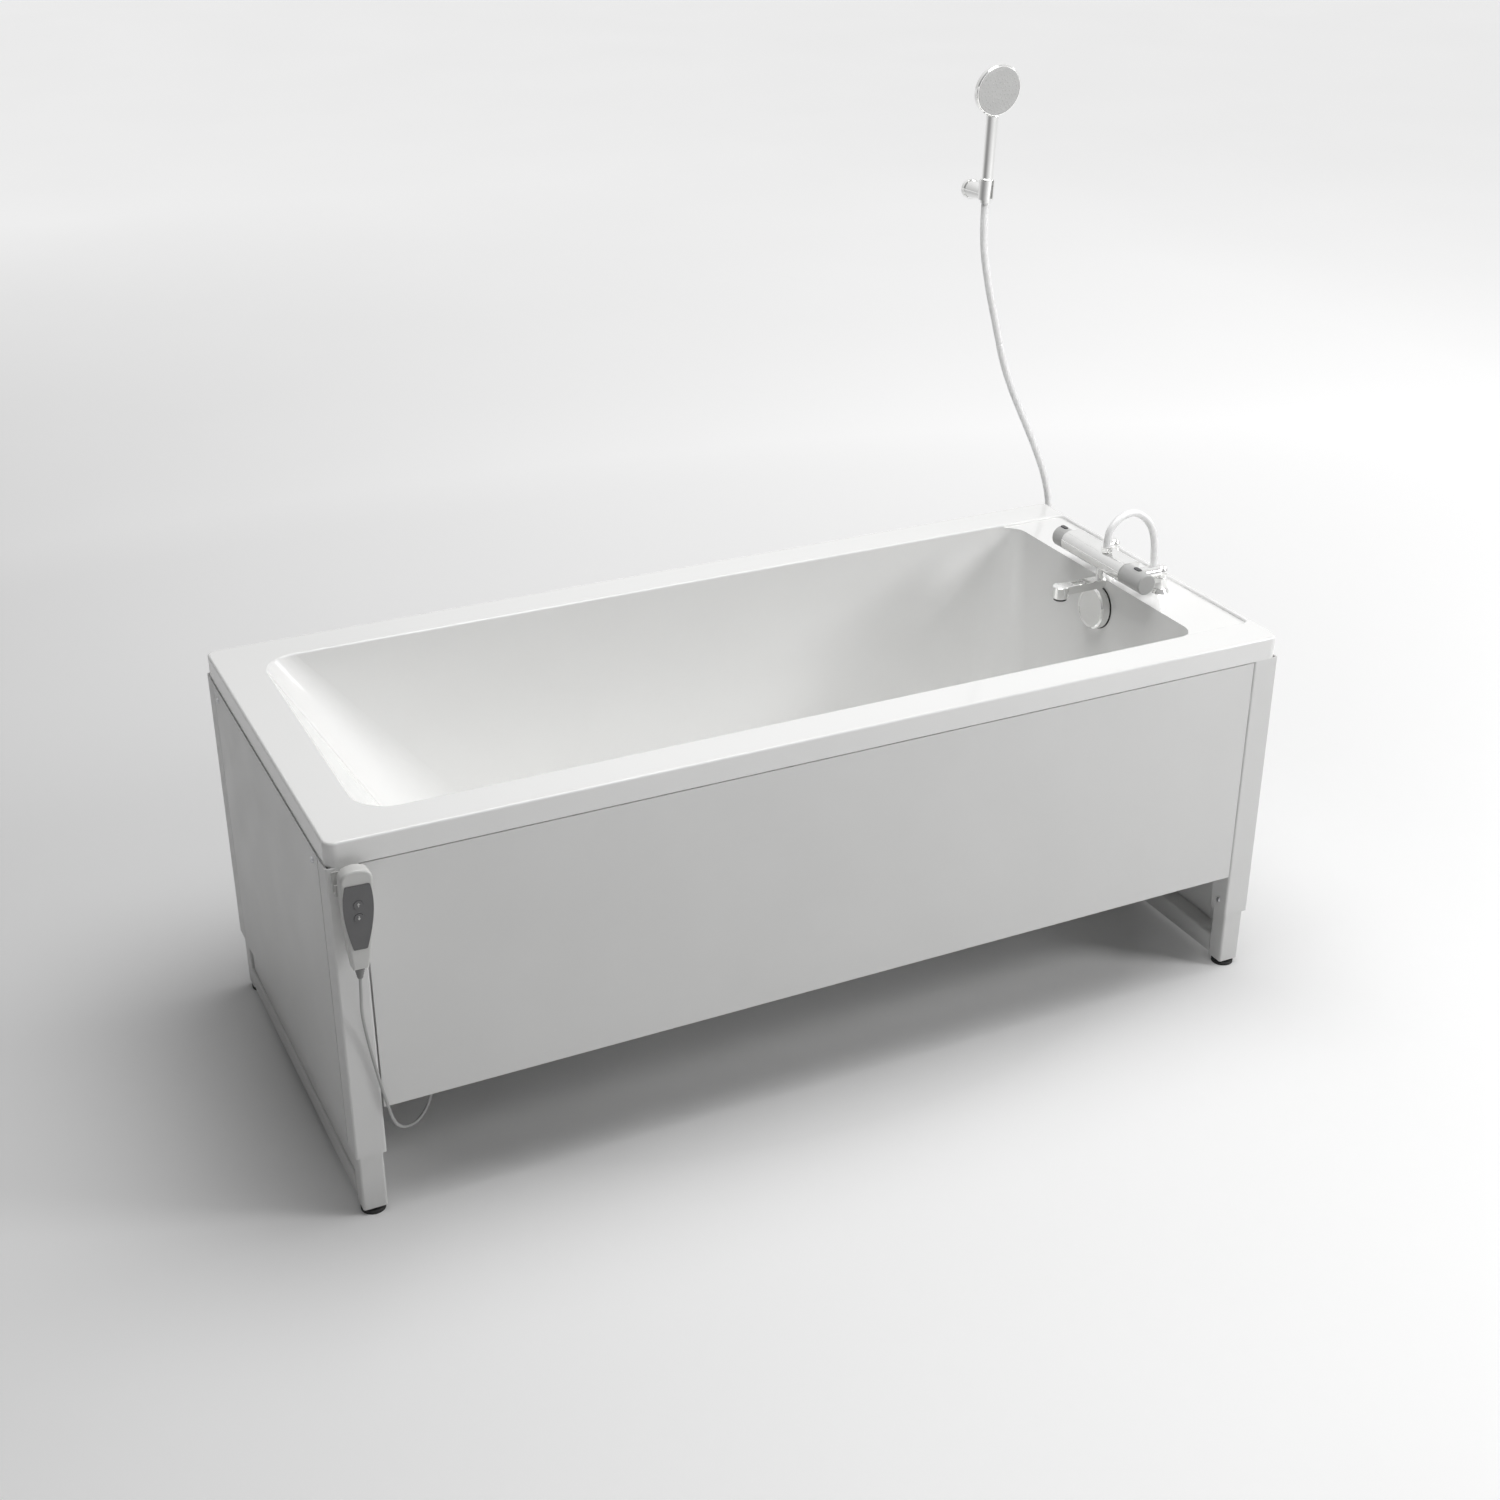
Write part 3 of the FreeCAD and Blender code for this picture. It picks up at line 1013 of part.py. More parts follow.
def stop_button(name, length, button_at):
    thing = body(name)
    place = f"({length} - {button_at})"
    shape = rounded("-button_width / 2", "button_width / 2", f"{place} - button_length / 2",
                    f"{place} + button_length / 2", "button_width / 2 - button_clear")
    pad(thing, sketch(thing, "XZ_Plane", [shape], offset="button_height - handle_radius - button_rise"),
        "button_height", backwards=True)
    return thing


def laid(thing, y, towards_front):
    """Turn a piece drawn along Z so that it points along Y, with its button on top."""
    turn = FreeCAD.Rotation(V(1, 0, 0), 90) if towards_front else FreeCAD.Rotation(V(0, 0, 1), 180).multiply(
        FreeCAD.Rotation(V(1, 0, 0), 90))
    thing.Placement = FreeCAD.Placement(V(0, 0, 0), turn)
    return put(thing, MIX_X, y, MIX_Z)


for name, length, at, place, front in (("temperature", "warm_length", "button_inset", MIX_Y0, True),
                                       ("flow", "flow_length", "flow_button_inset", MIX_Y1, False)):
    node(laid(handle(name + "_grip", length, at, front), place, front), name + "_handle")
    node(laid(stop_button(name + "_stop", length, at), place, front), name + "_button")

UNION_Z = "(rim_top + union_rise)"
SHELF_X = f"({MIX_X} + mixer_shelf)"
SUPPLY_LOW = f"({DECK} - tail_length - supply_length)"
pillars = []
nuts = []
for index, y in enumerate(PILLARS_Y):
    tag = f"p{index}_"
    outside = fuse(
        tag + "outside",
        rod(tag + "post", "pillar_radius", PILLAR_X, y, DECK, f"{UNION_Z} - {DECK}"),
        put(bind(doc.addObject("Part::Sphere", tag + "elbow"), Radius="elbow_radius"), PILLAR_X, y, UNION_Z),
        rod(tag + "arm", "pillar_radius", f"{SHELF_X} + ring_nut_length", y, UNION_Z,
            f"{PILLAR_X} - {SHELF_X} - ring_nut_length", "x"),
        rod(tag + "nipple", "nipple_radius", SHELF_X, y, UNION_Z, "ring_nut_length", "x"),
        cone(tag + "rosette", "rosette_radius", "base_nut", PILLAR_X, y, DECK, "rosette_height"),
        hexagon(tag + "base_nut", "base_nut", PILLAR_X, y, f"{DECK} + rosette_height", "base_nut_height"),
        rod(tag + "tail", "tail_radius", PILLAR_X, y, f"{DECK} - tail_length", "tail_length"),
        rod(tag + "supply", "supply_radius", PILLAR_X, y, SUPPLY_LOW, "supply_length"))
    pillars.append(cut(tag + "union", outside, rod(tag + "bore", "supply_bore", PILLAR_X, y, SUPPLY_LOW,
                                                   "supply_length + tail_length")))
    ring = cut(tag + "ring_nut", rod(tag + "ring", "ring_nut", SHELF_X, y, UNION_Z, "ring_nut_length", "x"),
               rod(tag + "ring_bore", "nipple_radius + ring_nut_clear", SHELF_X, y, UNION_Z, "ring_nut_length", "x"))
    low = f"{DECK_UNDER} - deck_nut_height"
    back = cut(tag + "deck_nut", hexagon(tag + "deck_hex", "deck_nut", PILLAR_X, y, low, "deck_nut_height"),
               rod(tag + "deck_bore", "tail_radius + ring_nut_clear", PILLAR_X, y, low, "deck_nut_height"))
    nuts += [ring, back]
node(group("pillar_unions", *pillars), "pillar_unions")
node(group("union_nuts", *nuts), "union_nuts")

spout = body("bath_spout")
ARM_LOW = f"({MIX_Z} - mixer_radius - spout_drop)"
ARM_TOP = f"({ARM_LOW} + spout_height)"
half = "spout_width / 2"
arm = [("0", f"-{half}"), (half, "0"), ("0", half), ("-spout_reach", half), ("-spout_reach", f"-{half}")]
pad(spout, sketch(spout, "XY_Plane", [(arm, {0: (half, 1), 1: (half, 1)})], offset=ARM_LOW), "spout_height")
thick = pad(spout, sketch(spout, "XY_Plane", circles=[("-spout_reach", "0", "spout_end")],
                          offset=f"{ARM_LOW} - spout_end_drop"), "spout_height + spout_end_drop")
top_edges = edges(thick, level(value(ARM_TOP)))
low_edges = edges(thick, level(value(f"{ARM_LOW} - spout_end_drop")))
fillet(spout, thick, top_edges + low_edges, "spout_edge", "Chamfer")
pad(spout, sketch(spout, "XY_Plane", circles=[("0", "0", "spout_post")], offset=ARM_TOP),
    "spout_drop - spout_height + spout_seat")
slot_x = "(-spout_reach + slot_from_end)"
slot = rounded(f"{slot_x} - slot_length / 2", f"{slot_x} + slot_length / 2", "-slot_width / 2", "slot_width / 2",
               "slot_width / 3")
pocket(spout, sketch(spout, "XY_Plane", [slot], offset=ARM_TOP), "slot_depth")
pocket(spout, sketch(spout, "XY_Plane", circles=[("-spout_reach", "0", "aerator_radius")],
                     offset=f"{ARM_LOW} - spout_end_drop"), "aerator_height - aerator_proud", backwards=True)
put(spout, MIX_X, "mixer_y + spout_y")
node(spout, "spout")

OUTLET_X = f"({MIX_X} - spout_reach)"
A_LOW = f"({ARM_LOW} - spout_end_drop - aerator_proud)"
node(cut("aerator_insert", rod("aerator_out", "aerator_radius", OUTLET_X, "mixer_y + spout_y", A_LOW, "aerator_height"),
         rod("aerator_dip", "aerator_bore", OUTLET_X, "mixer_y + spout_y", A_LOW, "aerator_recess")), "aerator")

HOSE_Y = "(mixer_y + hose_nut_y)"
NUT_Z = f"({MIX_Z} + mixer_radius)"
node(hexagon("hose_outlet_nut", "hose_nut_radius", MIX_X, HOSE_Y, NUT_Z, "hose_nut_height"), "hose_nut")

gland = body("deck_gland")
profile = [("0", "-deck_gland_length"), ("deck_gland_body", "-deck_gland_length"),
           ("deck_gland_body", f"{DECK_UNDER} - {DECK} - deck_gland_nut_height"),
           ("deck_gland_nut", f"{DECK_UNDER} - {DECK} - deck_gland_nut_height"),
           ("deck_gland_nut", f"{DECK_UNDER} - {DECK}"), ("deck_gland_body", f"{DECK_UNDER} - {DECK}"),
           ("deck_gland_body", "0"), ("deck_gland_flange", "0"), ("deck_gland_flange", "deck_gland_rise / 2"),
           ("deck_gland_flange - deck_gland_rise / 2", "deck_gland_rise"), ("0", "deck_gland_rise")]
revolve(gland, sketch(gland, "XZ_Plane", [(profile, {})]))
put(gland, GLAND_X, GLAND_Y, DECK)
node(gland, "hose_grommet")

# Holder on the wall and the hand shower that stands in its cradle. Both lean a little to the front.
WALL_Y = "(tub_width / 2 + wall_gap)"
AXIS_Y = f"({WALL_Y} - shower_reach)"
LEAN = value("shower_lean")


def leaning(thing):
    turned(thing, V(1, 0, 0), LEAN)
    return put(thing, "shower_x", AXIS_Y, "shower_height")


lower = "-cradle_height / 2"
cradle = leaning(group("cradle_outside", rod("cradle_ring", "cradle_radius", "0", "0", lower, "cradle_height")))
PLATE_Z = "(shower_height - holder_drop)"
arm = cone("holder_arm", "holder_waist", "holder_root", "shower_x", AXIS_Y, PLATE_Z,
           "shower_reach - holder_plate_depth", "y")
disc = rod("holder_disc", "holder_plate", "shower_x", f"{WALL_Y} - holder_plate_depth", PLATE_Z,
           "holder_plate_depth", "y")
cradle_bore = leaning(group("cradle_inside",
                            cone("cradle_cone", "cone_low + cone_clear", "cone_top + cone_clear", "0", "0", lower,
                                 "cradle_height"),
                            rod("cradle_way", "cone_low + cone_clear", "0", "0", "-cradle_height",
                                "cradle_height / 2"),
                            box("cradle_gap", "-cradle_slot / 2", "cradle_slot / 2", "-2 * cradle_radius", "0",
                                "-cradle_height", "cradle_height")))
bolts = [rod("holder_screw_" + side, "holder_bolt", "shower_x", f"{WALL_Y} - holder_plate_depth",
             f"{PLATE_Z} {sign} holder_bolt_pitch / 2", "holder_plate_depth", "y")
         for side, sign in (("high", "+"), ("low", "-"))]
node(cut("holder", fuse("holder_outside", cradle, arm, disc), cradle_bore, *bolts), "wall_holder")


def on_head(depth, radius):
    """Point of the head's half profile, by its depth behind the face and its distance from the middle."""
    return (f"head_face_y + ({depth}) * head_cos_share - ({radius}) * head_sin_share",
            f"head_face_z + ({depth}) * head_sin_share + ({radius}) * head_cos_share")


shower = body("hand_shower_body")
profile = [("0", "-inlet_end"), ("cone_low", "-inlet_end"), ("cone_low", lower), ("cone_top", "cradle_height / 2"),
           ("cone_top", "cradle_height / 2 + cone_clear * 8"), ("grip_low", "cradle_height / 2 + cone_clear * 12"),
           ("grip_top", "grip_length"), ("grip_top / 2", "grip_end"), ("0", "grip_end")]
revolve(shower, sketch(shower, "XZ_Plane", [(profile, {})]))
seat = "face_depth - face_proud"
profile = [on_head("0", "0"), on_head("0", "head_radius - face_depth"), on_head("face_depth", "head_radius"),
           on_head("head_rim", "head_radius"), on_head("head_depth", "head_back"),
           on_head("head_hump", "head_hump_radius"), on_head("head_hump", "0")]
revolve(shower, sketch(shower, "YZ_Plane", [(profile[::-1], {})]), "Edge7")
pit = [on_head(seat, "0"), on_head(seat, "face_radius"), on_head("-2 * overrun", "face_radius"),
       on_head("-2 * overrun", "0")]
revolve(shower, sketch(shower, "YZ_Plane", [(pit[::-1], {})]), "Edge4", "Groove")
node(leaning(shower), "hand_shower")

spray = body("spray_disc")
rim_of_face = "face_radius - face_clear"
profile = [on_head("-face_proud", "0"), on_head("-face_proud", f"{rim_of_face} - face_proud"),
           on_head("0", rim_of_face), on_head(seat, rim_of_face), on_head(seat, "0")]
revolve(spray, sketch(spray, "YZ_Plane", [(profile[::-1], {})]), "Edge5")
node(leaning(spray), "spray_face")

# Hand control on its hanger, with two buttons in a dark plate.
MID_Y = f"({P_FRONT} - control_reach + key_proud + plate_proud + handset_depth / 2)"
HAND_X = f"(handset_shift - {LEG_X})"
TILT = value("handset_lean")


def held(thing):
    turned(thing, V(0, 1, 0), TILT)
    return put(thing, HAND_X, MID_Y, "handset_foot")


case = body("handset")
CREST = "(handset_crown - handset_corner)"
SHIFT = "(handset_wide - handset_corner)"
crest_x = f"({SHIFT} + handset_corner * {SHIFT} / {CREST})"
crest_z = f"(handset_shoulder + handset_corner * sqrt({CREST} * {CREST} - {SHIFT} * {SHIFT}) / {CREST})"
outline = [("-handset_low", "0"), ("handset_low", "0"), ("handset_wide", "handset_shoulder"), (crest_x, crest_z),
           ("-" + crest_x, crest_z), ("-handset_wide", "handset_shoulder")]
arcs = {1: ("handset_flank", 1), 2: ("handset_corner", 1), 3: ("handset_crown", 1), 4: ("handset_corner", 1),
        5: ("handset_flank", 1)}
block = pad(case, sketch(case, "XZ_Plane", [(outline, arcs)], offset="-handset_depth / 2"), "handset_depth")
depth = value("handset_depth / 2")
faces = edges(block, lambda spots: all(abs(abs(p.y) - depth) < NEAR for p in spots))
fillet(case, block, faces, "handset_round")
shield = [("-plate_low_half", "plate_low"), ("plate_low_half", "plate_low"), ("plate_top_half", "plate_top"),
          ("-plate_top_half", "plate_top")]
bows = {0: ("plate_bow", 1), 1: ("plate_flank", 1), 2: ("plate_bow", 1), 3: ("plate_flank", 1)}
pocket(case, sketch(case, "XZ_Plane", [(shield, bows)], offset="handset_depth / 2"), "plate_sheet - plate_proud")
keys = [("0", z, "key_radius + key_clear") for z in ("key_up", "key_down")]
pocket(case, sketch(case, "XZ_Plane", circles=keys, offset="handset_depth / 2"),
       "key_depth - key_proud - plate_proud + key_travel + key_clear")
held(case)
BACK_Y = f"({MID_Y} + handset_depth / 2)"
TONGUE_Y = f"({BACK_Y} + hook_gap)"
LEG_FRONT = f"({TONGUE_Y} + hanger_sheet + hook_gap)"
TONGUE_TOP = "(hanger_top - hanger_height + hanger_tongue)"
HOOK_X = f"(hook_shift - {LEG_X})"
hook_sides = (f"{HOOK_X} - hook_width / 2", f"{HOOK_X} + hook_width / 2")
bridge = box("hook_bridge", *hook_sides, MID_Y, f"{LEG_FRONT} + hook_sheet",
             f"{TONGUE_TOP} + hook_gap", f"{TONGUE_TOP} + hook_gap + hook_sheet")
hook_leg = box("hook_leg", *hook_sides, LEG_FRONT, f"{LEG_FRONT} + hook_sheet", f"{TONGUE_TOP} + hook_gap - hook_drop",
               f"{TONGUE_TOP} + hook_gap + hook_sheet")
node(fuse("handset_with_hook", case, bridge, hook_leg), "handset_case")

face = body("handset_face")
pad(face, sketch(face, "XZ_Plane", [(shield, bows)], keys, "handset_depth / 2 + plate_proud - plate_sheet"),
    "plate_sheet")
node(held(face), "handset_plate")
for name, height in (("up", "key_up"), ("down", "key_down")):
    key = body(name + "_key")
    pad(key, sketch(key, "XZ_Plane", circles=[("0", height, "key_radius")],
                    offset="handset_depth / 2 + plate_proud + key_proud - key_depth"), "key_depth")
    node(held(key), name + "_button")

relief = body("relief")
profile = [("0", "-relief_length"), ("relief_low", "-relief_length")]
STEP_SHARES = (0.8, 0.6, 0.4, 0.2)
for share in STEP_SHARES:
    wide = f"(relief_top - {share} * (relief_top - relief_low))"
    low = f"-{share} * relief_length"
    profile += [(wide, f"{low} - relief_rib / 2"), (wide, f"{low} + relief_rib / 2"),
                (f"{wide} - relief_groove", f"{low} + relief_rib / 2")]
profile += [("relief_top", "-relief_groove"), ("relief_top", "0"), ("0", "0")]
revolve(relief, sketch(relief, "XZ_Plane", [(profile, {})]))
node(held(relief), "strain_relief")

hanger = body("hanger_hook")
foot_z = "(hanger_top - hanger_height)"
profile = [(P_FRONT, foot_z), (P_FRONT, "hanger_top"), (f"{P_FRONT} - hanger_sheet", "hanger_top"),
           (f"{P_FRONT} - hanger_sheet", f"{foot_z} + hanger_sheet"),
           (f"{TONGUE_Y} + hanger_sheet", f"{foot_z} + hanger_sheet"), (f"{TONGUE_Y} + hanger_sheet", TONGUE_TOP),
           (TONGUE_Y, TONGUE_TOP), (TONGUE_Y, foot_z)]
pad(hanger, sketch(hanger, "YZ_Plane", [(profile, {})], offset=f"-{LEG_X} - hanger_width / 2"), "hanger_width")
node(hanger, "hanger")

# Hose and cable. Each hangs by a route of points in millimetres; its ends follow the pieces that it joins.
doc.recompute()


def cord(name, points, radius):
    corners = []
    for before, corner, after in zip(points, points[1:], points[2:]):
        turn = (corner - before).getAngle(after - corner)
        shorter = min((corner - before).Length, (after - corner).Length)
        corners.append(0.45 * shorter / math.tan(turn / 2))
    path = tube_path(points, corners)
    thing = doc.addObject("Part::Feature", name)
    thing.Shape = swept(path, radius)
    real = math.pi * radius ** 2 * path.Length
    print(name, "length", round(path.Length, 1), "volume share", round(thing.Shape.Volume / real, 4),
          "radii", [round(r) for r in corners])
    return node(thing, name)


HOSE = value("hose_radius")
SPLIT = V(721.25, 373, 1018.5)
lean = math.radians(LEAN)
down = V(0, math.sin(lean), -math.cos(lean))
inlet_spot = spot("shower_x", AXIS_Y, "shower_height") + down * value("inlet_end")
UPPER = [inlet_spot, inlet_spot + down * 68, V(686, 367, 1133), V(710, 371, 1056), SPLIT]
cord("hose_upper", UPPER, HOSE)
gland_low = spot(GLAND_X, GLAND_Y, f"{DECK} - deck_gland_length")
LOWER = [(732.5, 375, 981), (762, 379, 914), (797, 383, 849), (829, 386, 787), (855, 389, 731), (873, 391, 672),
         (878, 392, 606), (868, 392, 540), (845, 391, 478), (812, 389, 424), (783, 378, 380), (766, 350, 347),
         (757, 303, 331), (757, 250, 332), (766, 196, 344), (782, 143, 366), (800, 94, 398), (815, 46, 439),
         (821, 3, 487), (819, -27, 542)]
LOWER = [SPLIT] + [V(*p) for p in LOWER] + [gland_low + V(0, 0, -46), gland_low]
cord("hose_lower", LOWER, HOSE)
nut_top = spot(MIX_X, HOSE_Y, f"{NUT_Z} + hose_nut_height")
gland_top = spot(GLAND_X, GLAND_Y, f"{DECK} + deck_gland_rise")
ARCH = [nut_top, nut_top + V(0, 0, 17), V(719.5, -38.5, 782), V(746, -34, 798), V(780, -28, 798), V(806, -33, 779),
        V(815.5, -42, 752), gland_top + V(0, 0, 38), gland_top]
cord("hose_deck", ARCH, HOSE)
tilt = math.radians(TILT)
down = V(-math.sin(tilt), 0, -math.cos(tilt))
relief_end = spot(HAND_X, MID_Y, "handset_foot") + down * value("relief_length")
gland_mouth = spot(CABLE_X, CABLE_Y, f"{C_Z0} - gland_height")
LEAD = [(-824, -390.5, 393), (-818.5, -382.5, 348), (-811.5, -380.3, 297), (-803, -380, 245), (-794.5, -380.8, 199),
        (-784.5, -368.5, 160), (-765.5, -351, 133), (-739.5, -337.5, 127.5), (-716, -326.5, 148),
        (-705.5, -324, 188), (-703.5, -325, 242), (-702.5, -323, 298), (-701.5, -326.5, 350)]
LEAD = [relief_end, relief_end + down * 28] + [V(*p) for p in LEAD] + [gland_mouth + V(0, 0, -36), gland_mouth]
cord("handset_cable", LEAD, value("cable_radius"))

# Every object must have built before any shape is written.
doc.recompute()
failed = [thing.Name for thing in doc.Objects if {"Invalid", "Error"} & set(thing.State)]
for thing in NODES:
    if thing.Shape.isNull() or not thing.Shape.isValid() or not thing.Shape.Solids:
        failed.append(thing.Label)
labels = [thing.Label for thing in NODES]
if len(set(labels)) != len(labels):
    failed.append("a label twice")
if failed:
    raise RuntimeError("not built: " + ", ".join(failed))
os.makedirs("parts", exist_ok=True)
for thing in NODES:
    thing.Shape.exportStep(f"parts/{thing.Label}.step")
print(len(NODES), "pieces written")
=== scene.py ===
# %% [markdown]
# # A bathtub that rises on four legs
# The bath hangs in a steel frame whose sleeves slide on fixed inner legs. Its structure, all hard pieces
# and their sizes come from the engineering model, which is loaded as it is. This lesson adds what that
# model has no need of: hoses and a cable that hang as real ones do, small mouldings, and finishes.

# %% The engineering model
import json
import math

import bmesh
import bpy
import numpy as np
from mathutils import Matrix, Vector


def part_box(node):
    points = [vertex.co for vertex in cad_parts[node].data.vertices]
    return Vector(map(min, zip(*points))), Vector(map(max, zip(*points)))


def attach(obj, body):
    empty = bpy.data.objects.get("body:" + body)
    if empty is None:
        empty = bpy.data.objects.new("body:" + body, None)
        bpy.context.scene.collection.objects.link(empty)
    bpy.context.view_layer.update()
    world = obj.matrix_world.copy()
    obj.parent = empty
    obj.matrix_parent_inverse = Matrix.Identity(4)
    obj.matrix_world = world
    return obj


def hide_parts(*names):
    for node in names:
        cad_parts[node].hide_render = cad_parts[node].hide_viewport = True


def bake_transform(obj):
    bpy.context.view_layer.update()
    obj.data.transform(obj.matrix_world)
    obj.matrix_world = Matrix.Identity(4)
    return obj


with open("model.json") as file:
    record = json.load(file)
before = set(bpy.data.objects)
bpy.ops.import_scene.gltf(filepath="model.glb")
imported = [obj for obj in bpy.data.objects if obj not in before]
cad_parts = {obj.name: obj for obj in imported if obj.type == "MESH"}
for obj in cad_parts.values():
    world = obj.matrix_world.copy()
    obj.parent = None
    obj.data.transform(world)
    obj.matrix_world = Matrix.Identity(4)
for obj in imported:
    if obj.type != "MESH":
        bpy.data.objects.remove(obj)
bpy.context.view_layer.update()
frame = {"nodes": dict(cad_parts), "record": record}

# %% [markdown]
# ## The camera
# The view is from above the head end's front corner. It could be set by eye in the viewport. Here the
# place, the angles and the focal length were solved from the rim's corners and the feet, so that the
# picture's perspective is the real one. A square sensor of 36 mm gives the square picture.

# %% Camera
SENSOR_MM = 36.0
FOCAL_MM = 49.9
EYE = (-1.4276, -2.9610, 2.1341)
TILT_DEGREES = 63.11                                      # 0 looks straight down, 90 looks level
HEADING_DEGREES = -25.83                                  # 0 looks along Y, less turns to the right
FARTHEST = 60.0                                           # metres that the camera sees

lens = bpy.data.cameras.new("view")
lens.sensor_width = SENSOR_MM
lens.lens = FOCAL_MM
lens.clip_end = FARTHEST
camera = bpy.data.objects.new("view", lens)
camera.location = EYE
camera.rotation_euler = (math.radians(TILT_DEGREES), 0.0, math.radians(HEADING_DEGREES))
bpy.context.scene.collection.objects.link(camera)
bpy.context.scene.camera = camera
print("camera", round(EYE[2], 2), "m above the floor, lens", FOCAL_MM, "mm")

# %% [markdown]
# ## Surfaces from arrays
# The added pieces are mouldings, prints and tubes. Sculpting or bevelled curves could make them. Here each
# is a grid of points, rows along it and columns around it, so that a piece is only a formula. One function
# turns a grid into a mesh, and a closed end gets a point in its middle. The map U runs along the rows and
# V around, both in metres, so that a pattern can follow the piece.

# %% Map along a grid
def map_along(grid, caps):
    """U is the way walked down the first column, V the column's share of the longest row's girth.
    Each quad has four such corners, and the three corners of each cap's triangles are zero."""
    columns = grid.shape[1]
    steps = np.linalg.norm(np.diff(grid[:, 0], axis=0), axis=1)
    girth = np.linalg.norm(np.roll(grid, -1, axis=1) - grid, axis=2).sum(axis=1).max()
    u, v = np.meshgrid(np.r_[0, np.cumsum(steps)], np.arange(columns) / columns * girth, indexing="ij")
    beside = v + girth / columns
    corners = [(u[:-1], v[:-1]), (u[:-1], beside[:-1]), (u[1:], beside[1:]), (u[1:], v[1:])]
    quads = np.stack([np.stack(corner, axis=-1) for corner in corners], axis=2).reshape(-1, 2)
    return np.vstack([quads, np.zeros((3 * columns * caps, 2))])


# %% Grid to mesh
def surface(name, grid, start_cap=False, end_cap=False, smooth=True, places=((0, 0, 0),)):
    """Mesh from grid[row, column] of points, repeated at each place. Columns join up; a cap is a fan."""
    rows, columns = grid.shape[:2]
    index = np.arange(rows * columns).reshape(rows, columns)
    right = np.roll(index, -1, axis=1)
    points = grid.reshape(-1, 3)
    faces = np.stack([index[:-1], right[:-1], right[1:], index[1:]], axis=-1).reshape(-1, 4).tolist()
    if start_cap:
        points = np.vstack([points, grid[0].mean(axis=0)])
        faces += np.stack([right[0], index[0], np.full(columns, len(points) - 1)], axis=-1).tolist()
    if end_cap:
        points = np.vstack([points, grid[-1].mean(axis=0)])
        faces += np.stack([index[-1], right[-1], np.full(columns, len(points) - 1)], axis=-1).tolist()

    copies = (points[None] + np.array(places)[:, None]).reshape(-1, 3)
    starts = range(0, len(copies), len(points))
    all_faces = [[start + corner for corner in face] for start in starts for face in faces]
    mesh = bpy.data.meshes.new(name)
    mesh.from_pydata(copies.tolist(), [], all_faces)
    uv = np.tile(map_along(grid, start_cap + end_cap), (len(starts), 1))
    mesh.uv_layers.new(name="along").data.foreach_set("uv", uv.ravel())
    mesh.polygons.foreach_set("use_smooth", np.full(len(mesh.polygons), smooth))

    shell = bmesh.new()
    shell.from_mesh(mesh)
    bmesh.ops.recalc_face_normals(shell, faces=shell.faces)
    shell.to_mesh(mesh)
    shell.free()
    piece = bpy.data.objects.new(name, mesh)
    bpy.context.scene.collection.objects.link(piece)
    return piece


# %% [markdown]
# ## Hoses and cable
# The shower hose and the hand control's cable hang in loops under their own weight. A bevelled curve could
# draw them. Here a ring of points is carried along the line without twisting, which gives a tube whose map
# follows it. The line is a NURBS spline whose control points are the hanging route: out of the fitting,
# down, round a wide loop and up again. The shower hose is three stretches that meet: an arc from the mixer
# through the deck, the loop behind the bath, and the length up to the holder.

# %% A line and the tube round it
LINE_STEPS = 14                                           # points on the line for each control point
FIRST_ASIDE = (0.31, 0.77, 0.55)                          # any direction in which no route starts


def line_through(name, route):
    """Points along the NURBS spline of order 3 that has the route's points as its control points."""
    curve = bpy.data.curves.new(name, "CURVE")
    curve.dimensions = "3D"
    spline = curve.splines.new("NURBS")
    spline.points.add(len(route) - 1)
    spline.points.foreach_set("co", np.c_[route, np.ones(len(route))].ravel())
    spline.order_u = 3
    spline.use_endpoint_u = True
    spline.resolution_u = LINE_STEPS
    holder = bpy.data.objects.new(name, curve)
    mesh = bpy.data.meshes.new_from_object(holder)
    points = np.empty(3 * len(mesh.vertices))
    mesh.vertices.foreach_get("co", points)
    bpy.data.objects.remove(holder)
    bpy.data.curves.remove(curve)
    bpy.data.meshes.remove(mesh)
    return points.reshape(-1, 3)


def tube(name, line, radius, sides):
    """Point on the tube = line + radius * (cos a * across + sin a * up), with across turned with the line."""
    ahead = np.gradient(line, axis=0)
    ahead /= np.linalg.norm(ahead, axis=1, keepdims=True)
    across = np.empty_like(line)
    across[0] = np.cross(ahead[0], FIRST_ASIDE)
    for here in range(1, len(line)):
        across[here] = across[here - 1] - ahead[here] * (across[here - 1] @ ahead[here])
    across /= np.linalg.norm(across, axis=1, keepdims=True)
    up = np.cross(ahead, across)
    angle = np.linspace(0, 2 * np.pi, sides, endpoint=False)[None, :, None]
    grid = line[:, None] + radius * (np.cos(angle) * across[:, None] + np.sin(angle) * up[:, None])
    return surface(name, grid, start_cap=True, end_cap=True)


def length_of(line):
    """The sum of the distances from each point to the next."""
    return float(np.linalg.norm(np.diff(line, axis=0), axis=1).sum())


